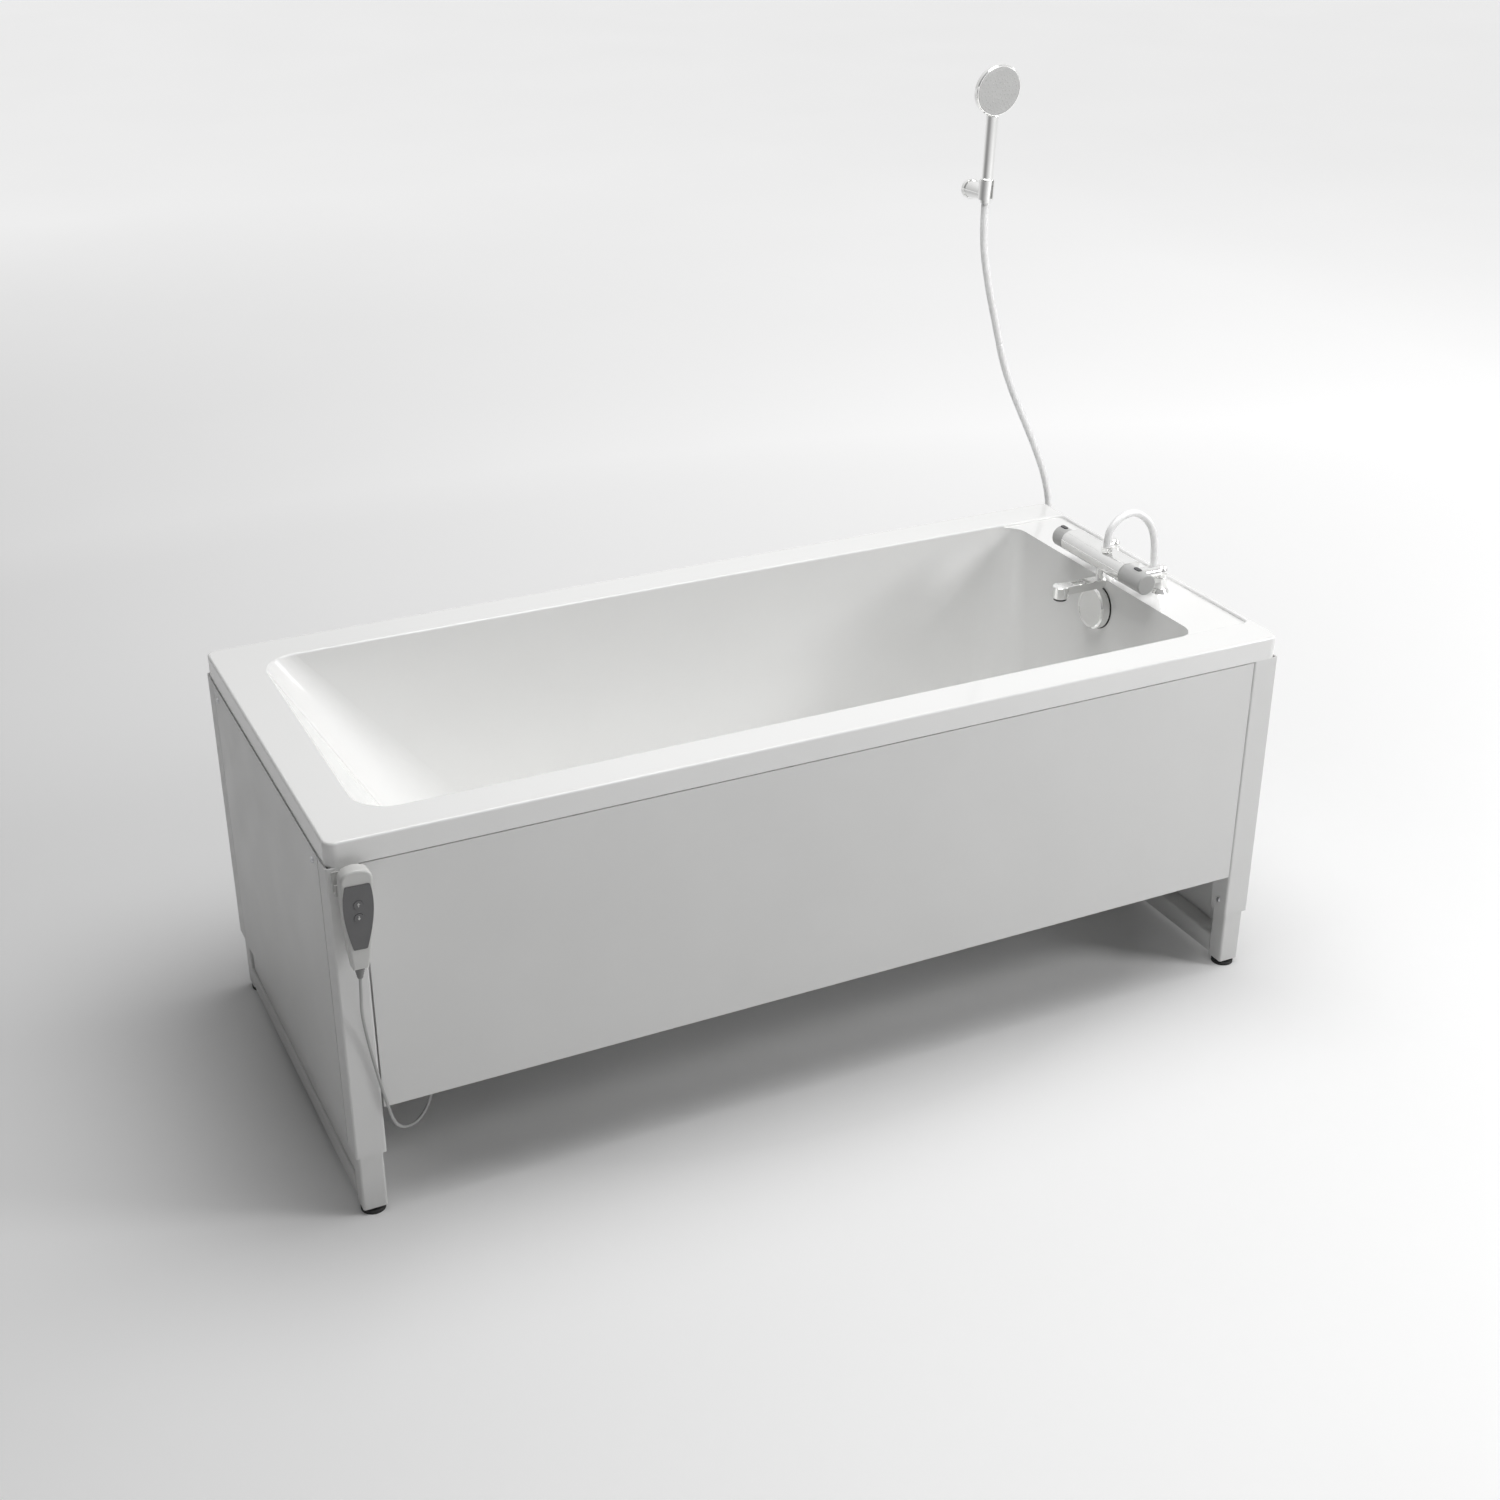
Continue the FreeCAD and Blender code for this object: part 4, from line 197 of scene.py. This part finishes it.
# %% Routes
JOIN = (0.72125, 0.373, 1.0185)                           # where the loop meets the upper length
HOSES = {
    "shower_hose_upper": [(0.664, 0.358465, 1.296045), (0.664, 0.36262, 1.22817), (0.686, 0.367, 1.133),
                          (0.71, 0.371, 1.056), JOIN],
    "shower_hose_loop": [JOIN, (0.7325, 0.375, 0.981), (0.762, 0.379, 0.914), (0.797, 0.383, 0.849),
                         (0.829, 0.386, 0.787), (0.855, 0.389, 0.731), (0.873, 0.391, 0.672),
                         (0.878, 0.392, 0.606), (0.868, 0.392, 0.54), (0.845, 0.391, 0.478),
                         (0.812, 0.389, 0.424), (0.783, 0.378, 0.38), (0.766, 0.35, 0.347),
                         (0.757, 0.303, 0.331), (0.757, 0.25, 0.332), (0.766, 0.196, 0.344),
                         (0.782, 0.143, 0.366), (0.8, 0.094, 0.398), (0.815, 0.046, 0.439),
                         (0.821, 0.003, 0.487), (0.819, -0.027, 0.542), (0.814, -0.05, 0.604),
                         (0.814, -0.05, 0.65)],
    "shower_hose_arc": [(0.712, -0.04, 0.746), (0.712, -0.04, 0.763), (0.7195, -0.0385, 0.782),
                        (0.746, -0.034, 0.798), (0.78, -0.028, 0.798), (0.806, -0.033, 0.779),
                        (0.8155, -0.042, 0.752), (0.814, -0.05, 0.71), (0.814, -0.05, 0.672)],
}
# From the hand control down beside the leg, a loop over the floor, and up to the control box.
CABLES = {
    "hand_control_cable": [(-0.823233, -0.4012, 0.458013), (-0.824259, -0.4012, 0.430032),
                           (-0.824, -0.3905, 0.393), (-0.8185, -0.3825, 0.348), (-0.8115, -0.3803, 0.297),
                           (-0.803, -0.38, 0.245), (-0.7945, -0.3808, 0.199), (-0.7845, -0.3685, 0.16),
                           (-0.7655, -0.351, 0.133), (-0.7395, -0.3375, 0.1275), (-0.716, -0.3265, 0.148),
                           (-0.7055, -0.324, 0.188), (-0.7035, -0.325, 0.242), (-0.7025, -0.323, 0.298),
                           (-0.7015, -0.3265, 0.35), (-0.699, -0.325, 0.392), (-0.699, -0.325, 0.428)],
}
print(len(HOSES), "stretches of hose,", len(CABLES), "cable")

# %% Cords made, and the model's own hoses and cable hidden
HOSE_THICK, HOSE_SIDES = 0.014, 24
CABLE_THICK, CABLE_SIDES = 0.005, 16

cords = {}
for routes, thick, sides in ((HOSES, HOSE_THICK, HOSE_SIDES), (CABLES, CABLE_THICK, CABLE_SIDES)):
    for name, route in routes.items():
        line = line_through(name, np.array(route))
        cords[name] = tube(name, line, thick / 2, sides)
        print(name, round(1000 * length_of(line)), "mm of line")

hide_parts("hose_upper")
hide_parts("hose_lower")
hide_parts("hose_deck")
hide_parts("handset_cable")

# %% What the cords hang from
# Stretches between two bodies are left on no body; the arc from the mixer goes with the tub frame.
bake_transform(cords["shower_hose_upper"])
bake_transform(cords["shower_hose_loop"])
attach(cords["shower_hose_arc"], "tub_frame")
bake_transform(cords["hand_control_cable"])
print(len(cords), "cords hung")

# %% [markdown]
# ## The hand control's face plate
# The membrane plate swells like a barrel and narrows to its foot, and two round buttons show through it.
# A flat curve with holes would be the usual way. Here the half width is a cubic of the height, as the
# swelling has no round arcs in it, and a Boolean cuts the holes, which stay round in a plate that isn't.

# %% Outline of the face plate
LEAN = np.array([0.0366, 0.0, 0.9993])                    # up along the leaning hand control
ASIDE = np.array([0.9993, 0.0, -0.0366])
FRONT = np.array([0.0, -1.0, 0.0])
FOOT_MM, SLOPE_MM, BEND_MM, TAPER_MM = 10.30, 29.40, -7.46, -13.88
CORNER = 0.002                                            # metres that a corner takes off the half width
CORNER_SHARE = 0.02                                       # of the height that a corner takes
PLATE_ROWS = 60


def half_width(t):
    """Half the plate's width in metres at height t from 0, the foot, to 1: a cubic that bulges two thirds
    up. The corners round off in a share of the height, where the width shrinks by a quarter circle."""
    near = np.clip(1 - np.minimum(t, 1 - t) / CORNER_SHARE, 0, 1)
    swelling = (FOOT_MM + SLOPE_MM * t + BEND_MM * t ** 2 + TAPER_MM * t ** 3) / 1000
    return swelling - CORNER * (1 - np.sqrt(1 - near ** 2))


height = (1 - np.cos(np.linspace(0, np.pi, PLATE_ROWS))) / 2      # closer together at foot and top
print("plate", round(2000 * half_width(height).max()), "mm wide")

# %% Face plate
EDGE = 0.0003                                             # bevel of the front edge
EDGE_SHARE = 0.985                                        # of the width, inside the bevel

button_middle = {node: np.mean(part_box(node), axis=0) for node in ("up_button", "down_button")}
plate_low, plate_high = (np.array(corner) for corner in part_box("handset_plate"))
behind, ahead = -plate_high[1], -plate_low[1]
tall = (plate_high[2] - plate_low[2]) / LEAN[2]
foot = button_middle["up_button"] + LEAN * (plate_low[2] - button_middle["up_button"][2]) / LEAN[2]
foot[1] = 0.0
flank = np.r_[half_width(height), -half_width(height[::-1])]
rise = np.r_[height, height[::-1]] * tall
rings = [foot + (flank * share)[:, None] * ASIDE + rise[:, None] * LEAN + depth * FRONT
         for share, depth in ((1.0, behind), (1.0, ahead + EDGE), (EDGE_SHARE, ahead))]
face_plate = surface("hand_control_plate", np.stack(rings), start_cap=True, end_cap=True, smooth=False)

# %% Holes for the buttons
HOLE_RADIUS, HOLE_SIDES = 0.0073, 48
DRILL_REACH = 0.01

around = np.linspace(0, 2 * np.pi, HOLE_SIDES, endpoint=False)[:, None]
for middle in button_middle.values():
    circle = middle + HOLE_RADIUS * (np.cos(around) * ASIDE + np.sin(around) * LEAN)
    drill = surface("drill", np.stack([circle - DRILL_REACH * FRONT, circle + DRILL_REACH * FRONT]),
                    start_cap=True, end_cap=True, smooth=False)
    hole = face_plate.modifiers.new("hole", "BOOLEAN")
    hole.object = drill
    hole.solver = "EXACT"
    cut = bpy.data.meshes.new_from_object(face_plate.evaluated_get(bpy.context.evaluated_depsgraph_get()))
    face_plate.modifiers.clear()
    face_plate.data = cut
    bpy.data.objects.remove(drill)
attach(face_plate, "hand_control")
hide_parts("handset_plate")
print(len(face_plate.data.polygons), "faces in the plate")

# %% [markdown]
# ## Marks on the buttons
# The hand control's two buttons are told apart by a printed arrow each, which stands a hair proud of the
# rubber. An image could carry them, but a print that is a thin raised shape stays sharp from any distance.
# Its outline is seven corners, swept through the print's thickness.

# %% Arrows
# Aside and up from the button's middle, in millimetres.
ARROW = np.array([(0, 3.4), (2.6, 0.3), (0.8, 0.3), (0.8, -3.2),
                  (-0.8, -3.2), (-0.8, 0.3), (-2.6, 0.3)]) / 1000
PRINT = 0.0002                                            # thickness, drawn thicker than ink to show


def arrow(button_node, body_name, way):
    """Prism on the arrow's outline, as thick as the print, pointing up for way 1 and down for way -1."""
    low, high = (np.array(corner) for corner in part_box(button_node))
    middle = (low + high) / 2
    middle[1] = low[1]
    flat = middle + way * (ARROW[:, :1] * ASIDE + ARROW[:, 1:] * LEAN)
    piece = surface(button_node + "_arrow", np.stack([flat, flat - (0, PRINT, 0)]), start_cap=True,
                    end_cap=True, smooth=False)
    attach(piece, body_name)
    return piece


arrows = [arrow("up_button", "raise_button", 1), arrow("down_button", "lower_button", -1)]
print(len(arrows), "arrows,", round(2000 * ARROW[:, 0].max(), 1), "mm wide")

# %% [markdown]
# ## Nozzles of the hand shower
# Water leaves through ninety soft nipples in five rings. A bump in the material could hint at them, but it
# casts no shadow and stays flat from the side. Modelling one and repeating it keeps the mesh small: the
# nipple is a short tapering tube with a sunk mouth, whose profile is carried round its axis.

# %% Spray nozzles
FACE = np.array([0.664, 0.32939, 1.4996])                 # middle of the spray plate's outer side
OUT = np.array([0.0, -0.9903, -0.1392])
UP = np.array([0.0, -0.1392, 0.9903])
SIDE = np.array([1.0, 0.0, 0.0])
# Radius and height of the nipple in millimetres, from its foot to the bottom of its mouth.
NIPPLE = np.array([(1.5, -0.2), (1.3, 0.1), (1.0, 0.35), (0.8, 0.4), (0.55, 0.38), (0.45, 0.2)]) / 1000
NIPPLE_SIDES = 12
RINGS = 5
RING_STEP = 0.0072
FIRST_RING = 6                                            # nipples, and each ring outwards has as many more


def ring_of(count, radius):
    """Places round a circle: radius * (cos a * side + sin a * up)."""
    around = np.linspace(0, 2 * np.pi, count, endpoint=False)[:, None]
    return radius * (np.cos(around) * SIDE + np.sin(around) * UP)


around = np.linspace(0, 2 * np.pi, NIPPLE_SIDES, endpoint=False)[None, :, None]
outward = np.cos(around) * SIDE + np.sin(around) * UP
nipple = FACE + NIPPLE[:, None, :1] * outward + NIPPLE[:, None, 1:] * OUT
places = np.vstack([ring_of(FIRST_RING * k, RING_STEP * k) for k in range(1, RINGS + 1)])
nozzles = surface("spray_nozzles", nipple, start_cap=True, end_cap=True, places=places)
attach(nozzles, "shower")
print(len(places), "nozzles,", len(nozzles.data.polygons), "faces")

# %% [markdown]
# ## A palette and a way to wire nodes
# Colours are written as sRGB hex, as any colour picker gives them, and one function makes them linear
# light for the shader. A second adds a node: every entry sets an input, or links it when it is given a
# socket. Patterns are in object coordinates, which are metres here, so a grain of one millimetre has a
# noise scale of 1000.

# %% Colour and node helpers
def linear(code):
    """sRGB hex to linear red, green, blue and alpha 1."""
    parts = np.array([int(code[i:i + 2], 16) for i in (1, 3, 5)]) / 255
    lit = np.where(parts <= 0.04045, parts / 12.92, ((parts + 0.055) / 1.055) ** 2.4)
    return (*lit.tolist(), 1.0)


def add(tree, kind, inputs=(), **settings):
    """Adds a node with its settings, and sets or links the inputs named."""
    made = tree.nodes.new(kind)
    for name, setting in settings.items():
        setattr(made, name, setting)
    for name, given in dict(inputs).items():
        if isinstance(given, bpy.types.NodeSocket):
            tree.links.new(given, made.inputs[name])
        else:
            made.inputs[name].default_value = given
    return made


# %% Finish helper
NOISE_LOW, NOISE_HIGH = 0.3, 0.7                          # the noise seldom leaves this range


def finish(name, light, dark, cloud_mm, gloss, grain_mm, depth_mm, **shader):
    """A finish: the colour drifts from dark to light in clouds, the roughness between two values in
    smears a third as large, and a fine grain is a bump of that depth."""
    material = bpy.data.materials.new(name)
    material.use_nodes = True
    tree = material.node_tree
    tree.nodes.clear()
    place = add(tree, "ShaderNodeTexCoord").outputs["Object"]
    clouds = add(tree, "ShaderNodeTexNoise", {"Vector": place, "Scale": 1000 / cloud_mm, "Detail": 3.0})
    tint = add(tree, "ShaderNodeMix", {0: clouds.outputs["Fac"], 6: linear(dark), 7: linear(light)},
               data_type="RGBA")
    smears = add(tree, "ShaderNodeTexNoise", {"Vector": place, "Scale": 3 * 1000 / cloud_mm, "Detail": 5.0})
    rough = add(tree, "ShaderNodeMapRange", {"Value": smears.outputs["Fac"], "From Min": NOISE_LOW,
                                             "From Max": NOISE_HIGH, "To Min": gloss[0], "To Max": gloss[1]})
    grain = add(tree, "ShaderNodeTexNoise", {"Vector": place, "Scale": 1000 / grain_mm, "Detail": 2.0})
    bump = add(tree, "ShaderNodeBump", {"Height": grain.outputs["Fac"], "Strength": 1.0,
                                        "Distance": depth_mm / 1000})
    body = add(tree, "ShaderNodeBsdfPrincipled", {"Base Color": tint.outputs[2],
                                                  "Roughness": rough.outputs["Result"],
                                                  "Normal": bump.outputs["Normal"], **shader})
    add(tree, "ShaderNodeOutputMaterial", {"Surface": body.outputs["BSDF"]})
    return material


# %% [markdown]
# ## Finishes of the bath and its frame
# Each finish starts from the real material and the way its surface was made. Images of the materials
# could be wrapped round the pieces, but most here are plain, moulded or sprayed, so noise in real sizes
# does it: clouds of colour, smears of gloss and a fine grain, each in millimetres.

# %% Bath and frame
# Acrylic sheet, drawn into its mould warm: glossy as glass over slow waves, so the shine is crisp but drifts.
acrylic = finish("moulded sanitary acrylic", "#f3f3f2", "#efefee", cloud_mm=240, gloss=(0.04, 0.08),
                 grain_mm=14, depth_mm=0.03, IOR=1.49)
# Powder, sprayed on and baked: half gloss with a fine orange peel, which spreads the shine along the steel.
powder = finish("white powder coat on steel", "#e6e6e5", "#e0e0df", cloud_mm=180, gloss=(0.38, 0.5),
                grain_mm=1.6, depth_mm=0.03, IOR=1.5)
# Laminate, pressed between smooth plates: flat, even and satin, so it shades without a highlight.
laminate = finish("white high-pressure laminate", "#e3e3e2", "#dddddc", cloud_mm=260, gloss=(0.3, 0.42),
                  grain_mm=2.2, depth_mm=0.012, IOR=1.5)
# Moulded rubber: hardly any shine, so feet and seals read as dark lines.
rubber = finish("black moulded rubber", "#242424", "#1c1c1c", cloud_mm=14, gloss=(0.6, 0.75),
                grain_mm=1.0, depth_mm=0.05, IOR=1.52)
# Nylon filled with glass: black with a dull sheen, as its surface is a little rough.
moulded = finish("black moulded nylon", "#232425", "#1b1c1d", cloud_mm=40, gloss=(0.45, 0.6),
                 grain_mm=0.9, depth_mm=0.04, IOR=1.53)
# Electroplated zinc: bright but cloudy, as its crystals scatter the mirror image.
zinc = finish("bright zinc-plated steel", "#cfd0d2", "#b4b5b9", cloud_mm=25, gloss=(0.25, 0.38),
              grain_mm=0.9, depth_mm=0.02, Metallic=1.0)
# Die-cast aluminium, tumbled: a dull metal with a coarse grain.
cast = finish("die-cast aluminium housing", "#b4b5b7", "#a2a3a6", cloud_mm=30, gloss=(0.4, 0.55),
              grain_mm=1.3, depth_mm=0.06, Metallic=1.0)
# Extruded polypropylene: waxy white with a wide soft shine.
pipe = finish("white extruded polypropylene", "#dfdfdc", "#d5d5d2", cloud_mm=60, gloss=(0.35, 0.48),
              grain_mm=1.5, depth_mm=0.03, IOR=1.49)
print(len(bpy.data.materials), "materials with those of bath and frame")

# %% [markdown]
# ## Finishes of the mixer and the shower
# Bright metal shows what is around it, so its finish is mostly the room that the light section gives it.
# Its handles and the spray plate are matt mouldings, which set it off.

# %% Mixer and shower
# Chrome over polished brass: a mirror with the faint waves of the polishing wheel.
chrome = finish("polished chrome plate", "#f2f2f1", "#e8e8e7", cloud_mm=40, gloss=(0.04, 0.12),
                grain_mm=9, depth_mm=0.012, Metallic=1.0)
# ABS from a spark-eroded mould: an even matt grain, drawn coarser than the real 0.1 mm so that it shows.
grip = finish("spark-textured grey ABS", "#bebebd", "#b4b4b3", cloud_mm=30, gloss=(0.42, 0.55),
              grain_mm=0.7, depth_mm=0.05, IOR=1.53)
# The same plastic in a dark tint: matt, so the shade inside the handle stays dark.
button = finish("dark moulded ABS", "#3f4042", "#38393b", cloud_mm=20, gloss=(0.35, 0.45),
                grain_mm=0.6, depth_mm=0.02, IOR=1.53)
# Silicone from a matt mould: milky and without hard highlights.
spray = finish("grey silicone spray plate", "#c3c3c2", "#bbbbba", cloud_mm=20, gloss=(0.4, 0.5),
               grain_mm=1.2, depth_mm=0.02, IOR=1.43)
print(len(bpy.data.materials), "with those of mixer and shower")

# %% [markdown]
# ## Finish of the hose
# The shower hose is smooth plastic over a wound strip, which shows as faint slanting bands. A modelled
# helix would need tens of thousands of faces. A sine wave of the tube's own map does it: along the hose it
# runs through one period in each rib, and round the hose through one, which makes the ribs climb.

# %% Hose
RIB = 0.0045                                              # from rib to rib along the hose
GIRTH = 0.0438                                            # once round the hose
RIB_HEIGHT = 0.00004
hose = finish("white PVC hose", "#fafafa", "#f1f1f1", cloud_mm=30, gloss=(0.22, 0.32),
              grain_mm=1.0, depth_mm=0.02, IOR=1.53)
tree = hose.node_tree
along = add(tree, "ShaderNodeTexCoord").outputs["UV"]
wound = add(tree, "ShaderNodeVectorMath", {0: along, 1: (2 * math.pi / RIB, 2 * math.pi / GIRTH, 0)},
            operation="DOT_PRODUCT")
rib = add(tree, "ShaderNodeMath", {0: wound.outputs["Value"]}, operation="SINE")
ribbed = add(tree, "ShaderNodeBump", {"Height": rib.outputs["Value"], "Strength": 1.0,
                                      "Distance": RIB_HEIGHT, "Normal": tree.nodes["Bump"].outputs["Normal"]})
tree.links.new(ribbed.outputs["Normal"], tree.nodes["Principled BSDF"].inputs["Normal"])
print("a rib every", 1000 * RIB, "mm on the hose")

# %% [markdown]
# ## Finishes of the hand control
# The hand control is four plastics side by side, which differ more in grey than in gloss: a light case, a
# dark membrane, a soft sleeve and the cable. One glossy material with four colours would look like a toy,
# so each has its own grain and its own dullness.

# %% Hand control
# ABS from a smoothly grained mould: a soft sheen that rounds the case.
case = finish("light grey moulded ABS", "#d0d0ce", "#c8c8c6", cloud_mm=50, gloss=(0.3, 0.4),
              grain_mm=0.8, depth_mm=0.02, IOR=1.53)
# Polyester film, printed from behind: flat and dark with a dull even sheen.
plate = finish("dark printed polyester film", "#6a6a6b", "#626263", cloud_mm=25, gloss=(0.35, 0.45),
               grain_mm=0.7, depth_mm=0.012, IOR=1.5)
# Soft PVC, moulded onto the cable: dull and darker than the case.
relief = finish("mid grey moulded soft PVC", "#8f8f8e", "#858584", cloud_mm=20, gloss=(0.5, 0.6),
                grain_mm=0.9, depth_mm=0.04, IOR=1.53)
# Extruded PVC sheath: grey and satin.
lead = finish("grey extruded PVC sheath", "#b6b6b5", "#aaaaaa", cloud_mm=30, gloss=(0.4, 0.5),
              grain_mm=0.8, depth_mm=0.02, IOR=1.53)
print(len(bpy.data.materials), "with those of the hand control")

# %% [markdown]
# ## Handing the finishes out
# The engineering model names a material slot for each piece. Each piece could be given its finish by
# hand, but going by slot gives all pieces of one material the same finish and leaves none out.

# %% Finishes on the engineering pieces
BY_SLOT = {"white_acrylic": acrylic, "white_paint": powder, "white_panel": laminate, "chrome": chrome,
           "dark_grip": grip, "dark_button": button, "light_case": case, "dark_plate": plate,
           "black_plastic": moulded, "black_rubber": rubber, "grey_face": spray, "steel": zinc,
           "motor_grey": cast, "pipe_white": pipe, "hose_silver": hose, "cable_grey": lead,
           "glide_black": moulded}
slot_of = {entry["node"]: entry["material_slot"] for entry in frame["record"]["subparts"]}
for node_name, piece in frame["nodes"].items():
    piece.data.materials.clear()
    piece.data.materials.append(BY_SLOT[slot_of[node_name]])
# The sleeve at the cable's exit has the slot black_rubber, but the real one is mid grey.
frame["nodes"]["strain_relief"].data.materials[0] = relief
print(len(slot_of), "pieces finished by", len(BY_SLOT), "slots")

# %% Finishes on the added pieces
dressed = {piece: (case, slot_of["handset_case"]) for piece in arrows}
dressed[face_plate] = (plate, slot_of["handset_plate"])
dressed[nozzles] = (spray, slot_of["spray_face"])
dressed[cords["hand_control_cable"]] = (lead, "cable_grey")
for name in HOSES:
    dressed[cords[name]] = (hose, slot_of["hose_deck"])
for piece, (material, slot) in dressed.items():
    piece.data.materials.clear()
    piece.data.materials.append(material)
print(len(dressed), "added pieces finished")

# %% [markdown]
# ## Floor and light
# A plain pale floor under soft light. One big lamp in front would be simpler, but it lights all sides
# alike. The key is a square lamp on the right and a little in front, at the height of a ceiling: it leaves
# the head end's panel darker and draws a soft shadow under the bath. A second lamp stands beyond the tap
# end and a third hangs over the bath. The sky adds a little from the left, the front and above, so that no
# side is black.

# %% Floor
FLOOR_REACH = 40.0
floor_mesh = bpy.data.meshes.new("studio_floor")
floor_corners = np.array([(-1, -1, 0), (1, -1, 0), (1, 1, 0), (-1, 1, 0)]) * FLOOR_REACH
floor_mesh.from_pydata(floor_corners.tolist(), [], [(0, 1, 2, 3)])
floor = bpy.data.objects.new("studio_floor", floor_mesh)
bpy.context.scene.collection.objects.link(floor)
# Rolled paper, matt: it takes the shadow and shows no highlight.
paper = finish("matt backdrop paper", "#eeeeee", "#ececec", cloud_mm=2500, gloss=(0.8, 0.9),
               grain_mm=3.0, depth_mm=0.01)
floor.data.materials.append(paper)
print("floor", 2 * FLOOR_REACH, "m square")

# %% Glow of the far floor
# Far off the floor glows with painted light: an emission that stands in for lamp light on a studio floor,
# rising from an oval outwards and brighter to the right.
OVAL = (1 / 1.6, 1, 1)                                    # the oval is 1.6 times as long as wide
RING_IN, RING_OUT, RING_POWER = 0.5, 2.9, 0.7             # metres where the glow starts and is full
LEVEL_LEFT, LEVEL_RIGHT, LEVEL_FAR = 0.08, 0.78, 0.72
LEVEL_REACH = 4.0                                         # metres to each side between left and right
FAR_IN, FAR_OUT = 2.6, 7.0                                # metres over which the level becomes the far one

tree = paper.node_tree
spot = add(tree, "ShaderNodeTexCoord").outputs["Object"]
oval = add(tree, "ShaderNodeVectorMath", {0: spot, 1: OVAL}, operation="MULTIPLY")
away = add(tree, "ShaderNodeVectorMath", {0: oval.outputs["Vector"]}, operation="LENGTH").outputs["Value"]
across = add(tree, "ShaderNodeSeparateXYZ", {"Vector": spot}).outputs["X"]
right = add(tree, "ShaderNodeMapRange", {"Value": across, "From Min": -LEVEL_REACH, "From Max": LEVEL_REACH,
                                         "To Min": LEVEL_LEFT, "To Max": LEVEL_RIGHT})
far = add(tree, "ShaderNodeMapRange", {"Value": away, "From Min": FAR_IN, "From Max": FAR_OUT})
level = add(tree, "ShaderNodeMix", {0: far.outputs["Result"], 2: right.outputs["Result"], 3: LEVEL_FAR})
ring = add(tree, "ShaderNodeMapRange", {"Value": away, "From Min": RING_IN, "From Max": RING_OUT})
swell = add(tree, "ShaderNodeMath", {0: ring.outputs["Result"], 1: RING_POWER}, operation="POWER")
# The floor's emission strength: painted light, weak on the left and strong on the right.
painted_floor_light = add(tree, "ShaderNodeMath", {0: swell.outputs["Value"], 1: level.outputs[0]}, operation="MULTIPLY")
body = tree.nodes["Principled BSDF"].inputs
body["Emission Color"].default_value = linear("#ffffff")
tree.links.new(painted_floor_light.outputs["Value"], body["Emission Strength"])
print("the glow is full", RING_OUT, "m from the middle")

# %% Lamps
LAMPS = {"key": dict(place=(3.2, -2.4, 2.4), aim=(0, 0, 0.4), size=1.0, watts=54),
         "side": dict(place=(3.6, 0, 2.2), aim=(0, 0, 0.5), size=1.0, watts=14),
         "overhead": dict(place=(0.3, -0.2, 3.6), aim=(0, 0, 0), size=2.4, watts=84)}


def lamp(name, place, aim, size, watts):
    """A square lamp of that size in metres, turned from its place to the aim."""
    light = bpy.data.lights.new(name, "AREA")
    light.shape = "SQUARE"
    light.size = size
    light.energy = watts
    held = bpy.data.objects.new(name, light)
    held.location = place
    held.rotation_euler = (Vector(aim) - Vector(place)).to_track_quat("-Z", "Y").to_euler()
    bpy.context.scene.collection.objects.link(held)


for name, sizes in LAMPS.items():
    lamp(name, **sizes)
print(len(LAMPS), "lamps,", sum(sizes["watts"] for sizes in LAMPS.values()), "watts")

# %% [markdown]
# ## The sky
# It has three tasks, told apart by the kind of ray. Dull surfaces are lit by its weak glow. Polished metal
# mirrors a white room, bright above, behind and on the right, because chrome in a dark studio looks black.
# The camera sees a pale even tone where the floor ends.

# %% Sky
# Its strength from the left, the front and above.
GLOW = {(-1, 0, 0): 0.01, (0, -1, 0): 0.01, (0, 0, 1): 0.1}
ROOM_HEADING = (0.55, 0.6, 0.57)                          # where the mirrored room is brightest
ROOM_DARK, ROOM_BRIGHT = 0.2, 1.0
SEEN = 0.86                                               # what the camera sees of the sky

world = bpy.data.worlds.new("studio")
bpy.context.scene.world = world
world.use_nodes = True
sky = world.node_tree
heading = add(sky, "ShaderNodeTexCoord").outputs["Generated"]
glow = 0.0
for side, strength in GLOW.items():
    facing = add(sky, "ShaderNodeVectorMath", {0: heading, 1: side}, operation="DOT_PRODUCT")
    lit = add(sky, "ShaderNodeMath", {0: facing.outputs["Value"], 1: 0.0}, operation="MAXIMUM")
    share = add(sky, "ShaderNodeMath", {0: lit.outputs["Value"], 1: strength, 2: glow},
                operation="MULTIPLY_ADD")
    glow = share.outputs["Value"]
toward = add(sky, "ShaderNodeVectorMath", {0: heading, 1: ROOM_HEADING}, operation="DOT_PRODUCT")
room = add(sky, "ShaderNodeMapRange", {"Value": toward.outputs["Value"], "From Min": -1.0, "From Max": 1.0,
                                       "To Min": ROOM_DARK, "To Max": ROOM_BRIGHT})
ray = add(sky, "ShaderNodeLightPath").outputs
mirrored = add(sky, "ShaderNodeMix", {0: ray["Is Glossy Ray"], 2: glow, 3: room.outputs["Result"]})
shown = add(sky, "ShaderNodeMix", {0: ray["Is Camera Ray"], 2: mirrored.outputs[0], 3: SEEN})
sky.links.new(shown.outputs[0], sky.nodes["Background"].inputs["Strength"])
sky.nodes["Background"].inputs["Color"].default_value = linear("#ffffff")
bpy.context.scene.view_settings.view_transform = "Standard"
print("sky of", len(sky.nodes), "nodes")
